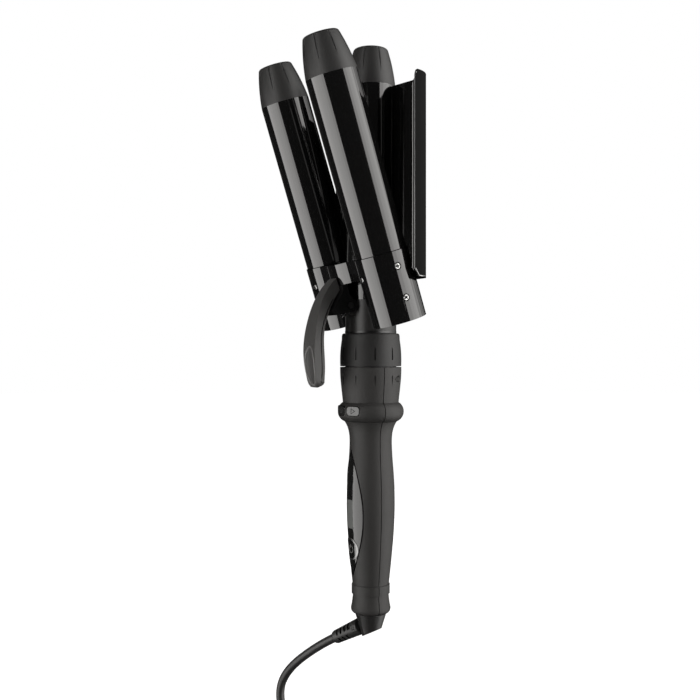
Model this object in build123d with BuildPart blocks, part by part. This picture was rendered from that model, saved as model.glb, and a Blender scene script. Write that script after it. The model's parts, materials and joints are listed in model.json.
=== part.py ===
from build123d import *
from math import asin, atan2, cos, degrees, hypot, pi, radians, sin, sqrt, tan
import os

# Three-barrel hair waver. Millimetres, +Z up along the handle, -Y is the front with the lever, keys
# and display. The origin is the middle of the hand grip, on the handle's axis.

os.makedirs("parts", exist_ok=True)

# ---------------------------------------------------------------- driving sizes: handle
SHELL_WALL = 2.2
SEAM = 0.5  # open line between the two handle shells
FOOT_Z = -74.6  # lower end of the handle
FOOT_WALL = 2.6
RING_LOW, RING_HIGH, RING_R = -61.4, -55.4, 12.7
GRIP_LINE = [(12.1, RING_HIGH), (13.7, -40), (15.8, -13), (15.6, 14), (14.1, 37), (14.9, 47), (17.4, 52.6)]
FLARE_LINE = [(11.9, RING_LOW), (12.3, -66), (13.2, -71)]
FOOT_R = 10.9  # radius of the handle's flat foot
BULGE_MID = (22.0, 59.0)
COLLAR_LOW_Z, COLLAR_SPLIT_Z, COLLAR_TOP = 65.4, 88.7, 111.0  # above the bulge, top of the shells, crown
COLLAR_GAP = 0.6
COLLAR_WALL = 3.4  # of the collar ring round the neck
COLLAR_WAIST = 1.8  # how much slimmer the collar is just above the bulge
CROWN_ROUND = 4.6  # height of the collar ring's rounded crown
NOTCH_COUNT, NOTCH_WIDTH, NOTCH_DEPTH = 10, 1.0, 0.7
UPPER_NOTCH = (4.8, 12.8)  # above the top of the shells
LOWER_NOTCH = (-17.1, -5.5)

SHELL_SCREW_DEPTH, SHELL_SCREW_DROP = 4.6, 7.7  # of a screw's axis, in from the collar and below the split
SHELL_SCREW_HEAD_R, SHELL_SCREW_R = 2.1, 1.2
SHELL_BOSS_R = 2.6
SCREW_GAP = 0.1  # round a screw's shank and head

# ---------------------------------------------------------------- driving sizes: keys and display
KEY_STEP = 31.0  # degrees between neighbouring keys
KEY_WIDTH, KEY_HEIGHT, KEY_Z = 9.4, 5.8, 60.2
KEY_GAP = 0.4  # round a key in its opening
KEY_CORNER = 2.2
KEY_PROUD = 0.3
KEY_TRAVEL = 0.6
KEY_BOTTOM_R = 17.6  # how deep a key reaches
SWITCH_SIZE, SWITCH_HEIGHT, PLUNGER_R, PLUNGER_HEIGHT = 5.0, 1.6, 1.2, 0.9
CARRIER_R, CARRIER_WALL = 14.0, 1.6
PANEL_TOP, PANEL_LOW, PANEL_HALF = 33.6, -49.0, 11.5
PANEL_THICK, PANEL_GAP, PANEL_LEDGE = 1.4, 0.35, 1.6
WINDOW_TOP, WINDOW_LOW, WINDOW_WIDTH = 1.4, -17.6, 9.0
POWER_Z, POWER_R, BEZEL_WALL, BEZEL_PROUD = -31.1, 6.0, 1.3, 0.35
POWER_GAP = 0.2
BOARD_Y, BOARD_THICK, BOARD_HALF_WIDTH = -7.0, 1.6, 8.0
BOARD_LOW, BOARD_HIGH = -46.0, 49.0
LCD_FRONT, LCD_THICK, LCD_WIDTH, LCD_HEIGHT = 13.2, 2.0, 10.5, 20.5

# ---------------------------------------------------------------- driving sizes: barrels and plate
BARREL_R, BARREL_WALL = 16.5, 1.8
SOCKET_STEP, SOCKET_WALL = 0.8, 1.8  # a socket stands this far proud of its barrel
SPIGOT_LENGTH, SPIGOT_GAP = 16.0, 0.1
BARREL_PITCH = 39.0  # between neighbouring barrel axes
NECK_STEP, NECK_WALL, NECK_TOP = 0.3, 3.4, 133.0  # the neck is this much slimmer than a socket
NECK_STUB_STEP, NECK_STUB_LENGTH = 4.4, 18.7  # the neck's foot inside the shells
TRIM_GAP, TRIM_HEIGHT = 0.3, 1.2
CENTRE_SEAM_Z = 158.0  # socket to barrel, centre
CENTRE_TOP_Z = 274.4  # barrel to tip, centre
PLATE_LOW, PLATE_TOP = 145.4, 273.4
PLATE_GAP, PLATE_THICK = 0.4, 1.2  # round a closed socket in its trough
PLATE_EDGE = 80.0  # degrees from straight back to the plate's edge
WING_TURN = 32.2  # degrees behind the middle plane where a wing leaves the centre barrel
COVER_EDGE = 84.0  # degrees from straight back to the cover's lip
COVER_FIT, COVER_WALL = 0.1, 1.6
COVER_BACK_WALL, COVER_LIP = 1.8, 0.9  # the cover's own thickness behind the trough and beside it
LIP_INSET, LIP_TOP_ROUND, LIP_CUT = 4.2, 3.0, (3.4, 5.4)  # behind the barrel's axis, and the lip's corners
COVER_SCREW_X, COVER_SCREW_ZS = 21.0, (164.0, 256.0)
COVER_SCREW_R, COVER_SCREW_HEAD_R, COVER_HEAD_DEPTH = 1.2, 2.4, 1.0
BOSS_R, BOSS_TOP_GAP = 2.0, 3.8
TIP_LENGTH, TIP_TOP_R, TIP_SWELL, TIP_ROUND = 25.6, 11.2, 0.7, 2.0
TIP_GROOVES, TIP_GROOVE_R, TIP_GROOVE_SHARE, TIP_GROOVE_SHIFT = 8, 0.85, 0.78, 0.35
HEATER_CLEAR, HEATER_WEB = 8.0, 9.0  # from the seam and from the tip's spigot

# ---------------------------------------------------------------- driving sizes: clamp and hinge
REST_OPEN = 17.4  # degrees that the clamp stands open
HINGE_GAP, HINGE_Z = 2.7, 129.0  # the hinge's axis in front of the centre socket
PIN_R, PIN_HALF, PIN_GAP = 2.0, 12.2, 0.06
LUG_IN, LUG_OUT, LUG_R = 4.6, 8.0, 4.0
EAR_IN, EAR_OUT, EAR_R = 8.4, 11.4, 4.5
CLAMP_BARREL_Y = -3.0  # closed
CLAMP_SOCKET_LOW, CLAMP_SEAM_Z, CLAMP_TOP_Z = 112.5, 156.5, 269.7  # closed
BRIDGE_LOW = 143.0
BRIDGE_GAP, BRIDGE_WALL = 1.2, 3.3  # round the centre socket
BRIDGE_WEB_BACK, BRIDGE_WEB_FRONT = -7.0, -16.5
HOUSING_SCREW_ZS = (147.2, 127.2)  # closed, on the outer side
FRONT_SCREW_ANGLE, FRONT_SCREW_Z = -96.0, 143.9
HOUSING_SCREW_HEAD_R, HOUSING_RECESS_DEPTH = 2.3, 1.3
LEVER_WIDTH, PADDLE_WIDTH, LEVER_TIP = 16.0, 19.0, 3.0
LEVER_COVER = 2.4  # thickness of the lever's inner cover
# the lever's side view and its seat on the bracket: out from the bridge, height (closed)
LEVER_FRONT = [(0.2, 148.2), (13.1, 138.9), (24.1, 123.2), (30.3, 108.9), (33.7, 94), (34.6, 87.5)]
LEVER_BACK = [(28.8, 87.5), (25.4, 100), (20.1, 117.5), (11.6, 129.7), (0.2, 140.2)]
LEVER_SEAT = [(0.5, 139.3), (11.2, 129.2), (9.2, 125.6)]
# its front view: where the shank ends and the paddle is widest, and the paddle's end
SHANK_Z, PADDLE_Z, PADDLE_SIDE_Z, PADDLE_LOW_Z, PADDLE_IN = 120.0, 96.0, 83.0, 74.6, 1.6
THUMB_R, THUMB_OUT, THUMB_Z, THUMB_LEAN = 21.0, 31.5, 98.0, 11.0  # the paddle's thumb dish
SPRING_WIRE, SPRING_R, SPRING_HALF = 0.55, 2.65, 3.2
SPRING_START, SPRING_SWEEP = -38.7, 1329.7  # degrees: where the near leg leaves, and the coil's turning
SPRING_LEGS = (8.0, 4.5)

# ---------------------------------------------------------------- driving sizes: swivel and cord
SWIVEL_STEM_R, SWIVEL_BORE_GAP = 7.5, 0.06
SWIVEL_FLANGE_R, SWIVEL_FLANGE_THICK = 9.2, 1.8
SWIVEL_TURN = -63.0  # degrees that the swivel and its cord stand turned from straight ahead
SWIVEL_TOP_R, SWIVEL_WAIST_R, SWIVEL_WAIST_DROP, SWIVEL_GAP = 10.4, 7.6, 9.4, 0.4
SWIVEL_TAIL, SWIVEL_TAIL_SLIM = 10.0, 2.9  # the taper below the waist
ARM_DROP = 27.9  # degrees below level
ARM_AXIS_DROP, ARM_REACH = 6.1, 29.7  # below the foot on the swivel's axis, and out to the sleeve's end
ARM_R, ARM_END_R, ARM_ROOT_R, ARM_END_ROUND = 5.6, 4.5, 4.2, 1.1
ARM_SLEEVE, ARM_LENGTH = 25.0, 27.0  # slotted sleeve, and its whole length with the root
DIMPLE_R, DIMPLE_RING, DIMPLE_DEPTH, DIMPLE_BACK = 1.3, 0.5, 0.35, 21.0
SWIVEL_DROP = 7.6  # underside below the arm's axis, on the swivel's own axis
SLOT_COUNT, SLOT_PITCH, SLOT_WIDTH, SLOT_CORE_R = 4, 3.75, 1.4, 3.5
SLOT_FIRST, SLOT_TOP_HALF, SLOT_LOW_HALF = 5.0, 82.0, 68.0
CORD_R = 3.0
FLOOR_Z = -173.0
CORD_FIRST_RUN = 14.0  # in line with the strain relief
ARM_COS, ARM_SIN = cos(radians(ARM_DROP)), sin(radians(ARM_DROP))
ARM_AXIS_Z = FOOT_Z - ARM_AXIS_DROP
ARM_END_Y, ARM_END_Z = -ARM_REACH, ARM_AXIS_Z - ARM_REACH * ARM_SIN / ARM_COS
CORD_ROUTE = [
    (0, ARM_END_Y, ARM_END_Z),
    (0, ARM_END_Y - CORD_FIRST_RUN * ARM_COS, ARM_END_Z - CORD_FIRST_RUN * ARM_SIN),
    (0.2, -66.5, -120.5),
    (0.6, -78.0, -134.0),
    (0.8, -80.8, -145.5),
    (0.8, -78.2, -156.4),
    (0.5, -71.1, -165.1),
    (0, -61.0, FLOOR_Z + CORD_R),
    (0, -40.0, FLOOR_Z + CORD_R),
]
BEND_SHARE = 0.45
COIL_LOW_TURNS, COIL_HIGH_TURNS, COIL_R = 5, 4, 30.5  # turns on the floor, turns on them, middle radius
PLUG_LENGTH, PLUG_WIDTH, PLUG_HEIGHT, PLUG_NOSE_WIDTH = 35.0, 26.0, 13.7, 16.0
PLUG_BOOT_LENGTH, PLUG_BOOT_R, PLUG_ROUND = 14.0, 4.4, 3.0
PIN_PLUG_R, PIN_PLUG_LENGTH, PIN_PLUG_PITCH = 2.0, 19.0, 18.6

# ---------------------------------------------------------------- worked-out sizes
COIL_LAST_R = COIL_R + (COIL_LOW_TURNS - 1) * CORD_R  # axis of the outermost turns
COIL_X, COIL_Y = COIL_LAST_R, CORD_ROUTE[-1][1]
COIL_TOP_AXIS_Z = FLOOR_Z + 3 * CORD_R
PLUG_Z = FLOOR_Z + PLUG_HEIGHT / 2
# the cord's other end, from the coil's top outer turn to the plug
TAIL_ROUTE = [
    (2 * COIL_LAST_R - 0.6, COIL_Y + 4, COIL_TOP_AXIS_Z),
    (2 * COIL_LAST_R, COIL_Y - 11, COIL_TOP_AXIS_Z),
    (2 * COIL_LAST_R + 5.5, COIL_Y - 23, PLUG_Z),
    (2 * COIL_LAST_R + 5.5, COIL_Y - 33, PLUG_Z),
]
PLUG_X, PLUG_Y = TAIL_ROUTE[-1][0], TAIL_ROUTE[-1][1]
SOCKET_R = BARREL_R + SOCKET_STEP
SPIGOT_R = SOCKET_R - SOCKET_WALL - SPIGOT_GAP
BARREL_BORE = BARREL_R - BARREL_WALL
NECK_R = SOCKET_R - NECK_STEP
NECK_BORE = NECK_R - NECK_WALL
NECK_STUB_R, NECK_STUB_LOW = NECK_R - NECK_STUB_STEP, COLLAR_SPLIT_Z - NECK_STUB_LENGTH
COLLAR_R = NECK_R + COLLAR_WALL
COLLAR_LINE = [
    (COLLAR_R - COLLAR_WAIST * slim, COLLAR_LOW_Z + (COLLAR_SPLIT_Z - COLLAR_LOW_Z) * rise)
    for slim, rise in ((1, 0), (0.5, 0.37), (0.06, 0.755), (0, 1))
]
SHELL_SCREW_X, SHELL_SCREW_Z = COLLAR_R - SHELL_SCREW_DEPTH, COLLAR_SPLIT_Z - SHELL_SCREW_DROP
TRIM_Z = COLLAR_TOP + TRIM_GAP
PLATE_R = SOCKET_R + PLATE_GAP
COVER_BACK_Y = CLAMP_BARREL_Y + PLATE_R + PLATE_THICK + COVER_FIT + COVER_BACK_WALL
COVER_SIDE_X = BARREL_PITCH + PLATE_R + PLATE_THICK + COVER_LIP
LIP_FRONT_Y = CLAMP_BARREL_Y + LIP_INSET
HINGE_Y = -SOCKET_R - HINGE_GAP
BRIDGE_IN_R = SOCKET_R + BRIDGE_GAP
BRIDGE_OUT_R = BRIDGE_IN_R + BRIDGE_WALL
SWIVEL_LOW_Z = ARM_AXIS_Z - SWIVEL_DROP
SWITCH_TOP_R = CARRIER_R + CARRIER_WALL / 2 + SWITCH_HEIGHT


def save(piece, name, turn=0.0):
    """Turn a finished piece about the handle's axis, label it and write its file."""
    solid = piece.part.rotate(Axis.Z, turn) if turn else piece.part
    solid.label = name
    export_step(solid, f"parts/{name}.step")


# The closed clamp's own frame, turned open about the hinge.
CLAMP = Plane(
    origin=(0, HINGE_Y, HINGE_Z),
    x_dir=(1, 0, 0),
    z_dir=(0, -sin(radians(REST_OPEN)), cos(radians(REST_OPEN))),
)


def clamp_point(x, y, z):
    """A point of the closed clamp, where it stands on the open one."""
    return CLAMP.from_local_coords(Vector(x, y - HINGE_Y, z - HINGE_Z))


def clamp_level(x, y, z):
    """Plane across the clamp's barrels."""
    return Plane(origin=clamp_point(x, y, z), x_dir=(1, 0, 0), z_dir=CLAMP.z_dir)


def clamp_side(x=0.0):
    """Side view plane of the clamp, drawn in the closed clamp's Y and Z."""
    return Plane(origin=clamp_point(x, 0, 0), x_dir=CLAMP.y_dir, z_dir=(1, 0, 0))


def handle_body(inset=0.0, foot=FOOT_Z):
    """The handle's turned form, drawn inset millimetres inside its skin."""
    with BuildPart(mode=Mode.PRIVATE) as body:
        with BuildSketch(Plane.XZ):
            with BuildLine():
                flare = Spline([(r - inset, z) for r, z in reversed(FLARE_LINE)])
                grip = Spline([(r - inset, z) for r, z in GRIP_LINE])
                swell = [(r - inset, z) for r, z in (BULGE_MID, COLLAR_LINE[0])]
                bulge = ThreePointArc(grip @ 1, *swell)
                collar = Spline([(r - inset, z) for r, z in COLLAR_LINE])
                Polyline(collar @ 1, (0, COLLAR_SPLIT_Z), (0, foot), (FOOT_R - inset, foot))
                turn_z = foot + 0.28 * (FLARE_LINE[-1][1] - foot)
                Spline([(FOOT_R - inset, foot), (FOOT_R + 1.5 - inset, turn_z), flare @ 0])
                Polyline(flare @ 1, (RING_R - inset, RING_LOW), (RING_R - inset, RING_HIGH), grip @ 0)
            make_face()
        revolve(axis=Axis.Z)
    return body.part


def skin_band(outer, inner):
    """A layer of the handle's wall, between two depths under its skin."""
    with BuildPart(mode=Mode.PRIVATE) as band:
        add(handle_body(outer))
        add(handle_body(inner), mode=Mode.SUBTRACT)
    return band.part


def lens_prism(grow):
    """The display panel's pointed oval, run out to the front."""
    middle = (PANEL_TOP + PANEL_LOW) / 2
    with BuildPart(mode=Mode.PRIVATE) as prism:
        with BuildSketch(Plane.XZ):
            with BuildLine():
                side = ThreePointArc((0, PANEL_TOP), (PANEL_HALF, middle), (0, PANEL_LOW))
                ThreePointArc(side @ 1, (-PANEL_HALF, middle), side @ 0)
            make_face()
            if grow:
                offset(amount=grow, kind=Kind.ARC)
        extrude(amount=2 * COLLAR_R)
    return prism.part


def panel_layer(grow, outer, inner):
    """The part of the handle's wall that the display panel takes."""
    with BuildPart(mode=Mode.PRIVATE) as layer:
        add(lens_prism(grow))
        add(skin_band(outer, inner), mode=Mode.INTERSECT)
    return layer.part


def key_plane(angle, radius):
    """Plane that faces a key on the bulge, angle degrees from straight ahead."""
    out = Vector(sin(radians(angle)), -cos(radians(angle)), 0)
    return Plane(origin=out * radius + Vector(0, 0, KEY_Z), x_dir=Vector(0, 0, 1).cross(out), z_dir=out)


def key_prism(angle, grow, start):
    """A key's rounded outline, run outwards from radius start."""
    with BuildPart(mode=Mode.PRIVATE) as prism:
        with BuildSketch(key_plane(angle, start)):
            RectangleRounded(KEY_WIDTH + 2 * grow, KEY_HEIGHT + 2 * grow, KEY_CORNER + grow)
        extrude(amount=2 * COLLAR_R - start)
    return prism.part


KEY_ANGLES = {"key_left": -KEY_STEP, "key_middle": 0.0, "key_right": KEY_STEP}
SKIN = handle_body()

# ---------------------------------------------------------------- handle shells
with BuildPart() as handle_shells:
    add(SKIN)
    add(handle_body(SHELL_WALL, FOOT_Z + FOOT_WALL), mode=Mode.SUBTRACT)
    with BuildSketch(Plane.XY.offset(FOOT_Z)):
        Circle(SWIVEL_STEM_R + SWIVEL_BORE_GAP)
    extrude(amount=FOOT_WALL, mode=Mode.SUBTRACT)
    with Locations((0, 0, COLLAR_SPLIT_Z + sum(LOWER_NOTCH) / 2)):
        with PolarLocations(COLLAR_R - NOTCH_DEPTH / 2 + 0.4, NOTCH_COUNT, start_angle=-90):
            Box(2.2 * NOTCH_DEPTH, NOTCH_WIDTH, LOWER_NOTCH[1] - LOWER_NOTCH[0], mode=Mode.SUBTRACT)
    # bosses that take the two shell screws, trimmed to the skin
    with BuildSketch(Plane.XZ):
        with Locations((SHELL_SCREW_X, SHELL_SCREW_Z), (-SHELL_SCREW_X, SHELL_SCREW_Z)):
            Circle(SHELL_BOSS_R)
    extrude(amount=10, both=True)
    add(SKIN, mode=Mode.INTERSECT)
    with BuildSketch(Plane.XZ.offset(8)):
        with Locations((SHELL_SCREW_X, SHELL_SCREW_Z), (-SHELL_SCREW_X, SHELL_SCREW_Z)):
            Circle(SHELL_SCREW_R + SCREW_GAP)
    extrude(amount=-16, mode=Mode.SUBTRACT)
    with BuildSketch(Plane.XZ.offset(-6)):
        with Locations((SHELL_SCREW_X, SHELL_SCREW_Z), (-SHELL_SCREW_X, SHELL_SCREW_Z)):
            Circle(SHELL_SCREW_HEAD_R + SCREW_GAP)
    extrude(amount=-12, mode=Mode.SUBTRACT)

with BuildPart() as key_openings:
    for key_angle in KEY_ANGLES.values():
        add(key_prism(key_angle, KEY_GAP, KEY_BOTTOM_R))

with BuildPart() as front_shell:
    add(handle_shells.part)
    split(bisect_by=Plane.XZ.offset(SEAM / 2), keep=Keep.TOP)
    add(lens_prism(-PANEL_LEDGE), mode=Mode.SUBTRACT)
    add(key_openings.part, mode=Mode.SUBTRACT)
    add(panel_layer(PANEL_GAP, -1.0, PANEL_THICK), mode=Mode.SUBTRACT)
save(front_shell, "front_shell")

with BuildPart() as rear_shell:
    add(handle_shells.part)
    split(bisect_by=Plane.XZ.offset(-SEAM / 2), keep=Keep.BOTTOM)
save(rear_shell, "rear_shell")

with BuildPart() as shell_screws:
    with BuildSketch(Plane.XZ.offset(-6.1)):
        with Locations((SHELL_SCREW_X, SHELL_SCREW_Z), (-SHELL_SCREW_X, SHELL_SCREW_Z)):
            Circle(SHELL_SCREW_HEAD_R)
    extrude(amount=-1.6)
    with BuildSketch(Plane.XZ.offset(-6.1)):
        with Locations((SHELL_SCREW_X, SHELL_SCREW_Z), (-SHELL_SCREW_X, SHELL_SCREW_Z)):
            Circle(SHELL_SCREW_R)
    extrude(amount=13.5)
save(shell_screws, "shell_screws")

# ---------------------------------------------------------------- collar ring and neck
with BuildPart() as collar_ring:
    with BuildSketch(Plane.XZ):
        with BuildLine():
            low = COLLAR_SPLIT_Z + COLLAR_GAP
            shoulder = COLLAR_TOP - CROWN_ROUND
            middle = low + 0.3 * (shoulder - low)
            shoulder_r = COLLAR_R - 0.3 * COLLAR_WALL
            side = Spline([(COLLAR_R - 0.1, low), (COLLAR_R, middle), (shoulder_r, shoulder)])
            crown_points = [side @ 1, (NECK_R + 0.2 * COLLAR_WALL, COLLAR_TOP)]
            crown = Spline(crown_points, tangents=[side % 1, (-1, 0)])
            Polyline(crown @ 1, (NECK_R + COVER_FIT, COLLAR_TOP), (NECK_R + COVER_FIT, low), side @ 0)
        make_face()
    revolve(axis=Axis.Z)
    with Locations((0, 0, COLLAR_SPLIT_Z + sum(UPPER_NOTCH) / 2)):
        with PolarLocations(COLLAR_R - NOTCH_DEPTH / 2 + 0.4, NOTCH_COUNT, start_angle=-90):
            Box(2.2 * NOTCH_DEPTH, NOTCH_WIDTH, UPPER_NOTCH[1] - UPPER_NOTCH[0], mode=Mode.SUBTRACT)
save(collar_ring, "collar_ring")

with BuildPart() as neck_tube:
    with BuildSketch(Plane.XZ):
        with BuildLine():
            Polyline(
                (NECK_BORE, NECK_TOP),
                (NECK_R, NECK_TOP),
                (NECK_R, COLLAR_SPLIT_Z + 0.1),
                (NECK_STUB_R, COLLAR_SPLIT_Z + 0.1),
                (NECK_STUB_R, NECK_STUB_LOW),
                (NECK_STUB_R - SOCKET_WALL, NECK_STUB_LOW),
                (NECK_STUB_R - SOCKET_WALL, COLLAR_SPLIT_Z + 3),
                (NECK_BORE, COLLAR_SPLIT_Z + 4),
                close=True,
            )
        make_face()
    revolve(axis=Axis.Z)
    # groove that the trim ring sits in
    with BuildSketch(Plane.XY.offset(TRIM_Z)):
        Circle(NECK_R + 1)
        Circle(NECK_R - 0.6, mode=Mode.SUBTRACT)
    extrude(amount=TRIM_HEIGHT, mode=Mode.SUBTRACT)
    # pair of lugs for the hinge pin, with a pocket for the spring between them
    for lug_x in (-LUG_OUT, LUG_IN):
        with BuildSketch(Plane.YZ.offset(lug_x)):
            with Locations((HINGE_Y, HINGE_Z)):
                Circle(LUG_R)
            with BuildLine():
                back = -sqrt(NECK_BORE**2 - LUG_OUT**2) - 1
                Polyline(
                    (HINGE_Y, HINGE_Z + LUG_R),
                    (back, HINGE_Z + LUG_R),
                    (back, HINGE_Z - 2.2 * LUG_R),
                    (HINGE_Y - 0.4 * LUG_R, HINGE_Z - 0.9 * LUG_R),
                    close=True,
                )
            make_face()
        extrude(amount=LUG_OUT - LUG_IN)
    with BuildSketch(Plane.YZ.offset(-PIN_HALF)):
        with Locations((HINGE_Y, HINGE_Z)):
            Circle(PIN_R + 0.02)
    extrude(amount=2 * PIN_HALF, mode=Mode.SUBTRACT)
    with BuildSketch(Plane.YZ.offset(-LUG_IN)):
        with Locations((HINGE_Y, HINGE_Z)):
            Circle(SPRING_R + 2 * SPRING_WIRE + 0.6)
    extrude(amount=2 * LUG_IN, mode=Mode.SUBTRACT)
save(neck_tube, "neck_tube")

with BuildPart() as neck_trim_ring:
    with BuildSketch(Plane.XY.offset(TRIM_Z + 0.05)):
        Circle(NECK_R + 0.15)
        Circle(NECK_R - 0.5, mode=Mode.SUBTRACT)
    extrude(amount=TRIM_HEIGHT - 0.1)
save(neck_trim_ring, "neck_trim_ring")

# ---------------------------------------------------------------- display, power button and keys
with BuildPart() as display_panel:
    add(panel_layer(0, 0, PANEL_THICK - 0.05))
    with BuildSketch(Plane.XZ):
        with Locations((0, POWER_Z)):
            Circle(POWER_R + POWER_GAP + BEZEL_WALL)
        with Locations((0, (WINDOW_TOP + WINDOW_LOW) / 2)):
            RectangleRounded(WINDOW_WIDTH, WINDOW_TOP - WINDOW_LOW, 1.0)
    extrude(amount=2 * COLLAR_R, mode=Mode.SUBTRACT)
save(display_panel, "display_panel")

with BuildPart() as display_window:
    with BuildSketch(Plane.XZ):
        with Locations((0, (WINDOW_TOP + WINDOW_LOW) / 2)):
            RectangleRounded(WINDOW_WIDTH - 0.16, WINDOW_TOP - WINDOW_LOW - 0.16, 0.9)
    extrude(amount=2 * COLLAR_R)
    add(skin_band(0.08, PANEL_THICK - 0.05), mode=Mode.INTERSECT)
save(display_window, "display_window")

with BuildPart() as power_bezel:
    with BuildSketch(Plane.XZ):
        with Locations((0, POWER_Z)):
            Circle(POWER_R + POWER_GAP + BEZEL_WALL - 0.02)
            Circle(POWER_R + POWER_GAP, mode=Mode.SUBTRACT)
    extrude(amount=2 * COLLAR_R)
    add(skin_band(-BEZEL_PROUD, PANEL_THICK - 0.05), mode=Mode.INTERSECT)
save(power_bezel, "power_bezel")

with BuildPart() as power_button:
    with BuildSketch(Plane.XZ):
        with Locations((0, POWER_Z)):
            Circle(POWER_R)
    extrude(amount=2 * COLLAR_R)
    add(handle_body(-0.1), mode=Mode.INTERSECT)
    add(handle_body(PANEL_THICK + 0.2), mode=Mode.SUBTRACT)
    with BuildSketch(Plane.XZ.offset(-BOARD_Y + SWITCH_HEIGHT + PLUNGER_HEIGHT + 0.1)):
        with Locations((0, POWER_Z)):
            Circle(PLUNGER_R + 0.8)
    extrude(until=Until.NEXT)
save(power_button, "power_button")

KEY_SKIN = handle_body(-KEY_PROUD)
for key_name, key_angle in KEY_ANGLES.items():
    with BuildPart() as key:
        add(key_prism(key_angle, 0, KEY_BOTTOM_R))
        add(KEY_SKIN, mode=Mode.INTERSECT)
    save(key, key_name)

with BuildPart() as circuit_board:
    with BuildSketch(Plane.XZ.offset(-BOARD_Y - BOARD_THICK)):
        with Locations((0, (BOARD_LOW + BOARD_HIGH) / 2)):
            RectangleRounded(2 * BOARD_HALF_WIDTH, BOARD_HIGH - BOARD_LOW, 1.5)
    extrude(amount=BOARD_THICK)
    with BuildSketch(Plane.XZ.offset(-BOARD_Y)):
        with Locations((0, POWER_Z)):
            Rectangle(SWITCH_SIZE, SWITCH_SIZE)
    extrude(amount=SWITCH_HEIGHT)
    with BuildSketch(Plane.XZ.offset(-BOARD_Y + SWITCH_HEIGHT)):
        with Locations((0, POWER_Z)):
            Circle(PLUNGER_R)
    extrude(amount=PLUNGER_HEIGHT - KEY_TRAVEL)
save(circuit_board, "circuit_board")

with BuildPart() as lcd_module:
    window_z = (WINDOW_TOP + WINDOW_LOW) / 2
    with BuildSketch(Plane.XZ.offset(LCD_FRONT - LCD_THICK)):
        with Locations((0, window_z)):
            RectangleRounded(LCD_WIDTH, LCD_HEIGHT, 0.8)
    extrude(amount=LCD_THICK)
    with BuildSketch(Plane.XZ.offset(-BOARD_Y)):
        with Locations((0, window_z)):
            Rectangle(LCD_WIDTH - 3, LCD_HEIGHT - 6)
    extrude(amount=LCD_FRONT - LCD_THICK + BOARD_Y)
save(lcd_module, "lcd_module")

with BuildPart() as switch_carrier:
    with BuildSketch(Plane.XZ):
        with BuildLine():
            Polyline(
                (CARRIER_R - CARRIER_WALL / 2, KEY_Z - 6),
                (CARRIER_R + CARRIER_WALL / 2, KEY_Z - 6),
                (CARRIER_R + CARRIER_WALL / 2, COLLAR_LINE[0][1] - 0.4),
                (COLLAR_LINE[0][0] - SHELL_WALL - 0.15, COLLAR_LINE[0][1]),
                (COLLAR_LINE[0][0] - SHELL_WALL - 0.15, COLLAR_LINE[0][1] + 1.4),
                (CARRIER_R - CARRIER_WALL / 2, COLLAR_LINE[0][1] + 1.4),
                close=True,
            )
        make_face()
    revolve(axis=Axis.Z, revolution_arc=110)
CARRIER_TURN = -145  # turns the arc to face the front
switch_carrier.part = switch_carrier.part.rotate(Axis.Z, CARRIER_TURN)
save(switch_carrier, "switch_carrier")

with BuildPart() as key_switches:
    for key_angle in KEY_ANGLES.values():
        with BuildSketch(key_plane(key_angle, CARRIER_R + CARRIER_WALL / 2 + 0.05)):
            Rectangle(SWITCH_SIZE, SWITCH_SIZE)
        extrude(amount=SWITCH_HEIGHT)
        with BuildSketch(key_plane(key_angle, SWITCH_TOP_R)):
            Circle(PLUNGER_R)
        extrude(amount=KEY_BOTTOM_R - KEY_TRAVEL - 0.1 - SWITCH_TOP_R)
save(key_switches, "key_switches")


# ---------------------------------------------------------------- plate, centre barrel, rear cover
def wing_outline(side, grow, edge):
    """Points of one wing's surface, grow behind the trough: inner end, start, middle, edge of the arc."""
    trough_r = PLATE_R + grow
    centre = Vector(BARREL_PITCH, CLAMP_BARREL_Y)
    start_r = BARREL_R - 0.65 * BARREL_WALL
    start = Vector(start_r * cos(radians(WING_TURN)), start_r * sin(radians(WING_TURN)) + grow)
    reach = hypot(centre.X - start.X, centre.Y - start.Y)
    along = atan2(centre.Y - start.Y, centre.X - start.X) + asin(trough_r / reach)
    length = sqrt(reach**2 - trough_r**2)
    touch = start + Vector(cos(along), sin(along)) * length
    middle = (edge + degrees(atan2(touch.X - centre.X, touch.Y - centre.Y))) / 2
    points = [start, touch]
    for turn in (middle, edge):
        points.append(centre + Vector(sin(radians(turn)), cos(radians(turn))) * trough_r)
    return [(side * point.X, point.Y) for point in points]


def wing_sketch(side, low, high, edge):
    """Section of one wing between two depths behind the trough."""
    front = wing_outline(side, low, edge)
    back = wing_outline(side, high, edge)
    with BuildSketch(Plane.XY, mode=Mode.PRIVATE) as wing:
        with BuildLine():
            Line(front[0], front[1])
            ThreePointArc(front[1], front[2], front[3])
            Line(front[3], back[3])
            ThreePointArc(back[3], back[2], back[1])
            Polyline(back[1], back[0], front[0])
        make_face()
    return wing.sketch


COVER_SCREWS = [(side * COVER_SCREW_X, z) for side in (1, -1) for z in COVER_SCREW_ZS]
# a boss stands on the wing's straight inner part and ends short of the cover's back
wing_start, wing_touch = wing_outline(1, PLATE_THICK, PLATE_EDGE)[:2]
wing_rise = (wing_touch[1] - wing_start[1]) / (wing_touch[0] - wing_start[0])
BOSS_START_Y = wing_start[1] + wing_rise * (COVER_SCREW_X - wing_start[0]) - 0.1 * PLATE_THICK
BOSS_END_Y = COVER_BACK_Y - BOSS_TOP_GAP

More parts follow.
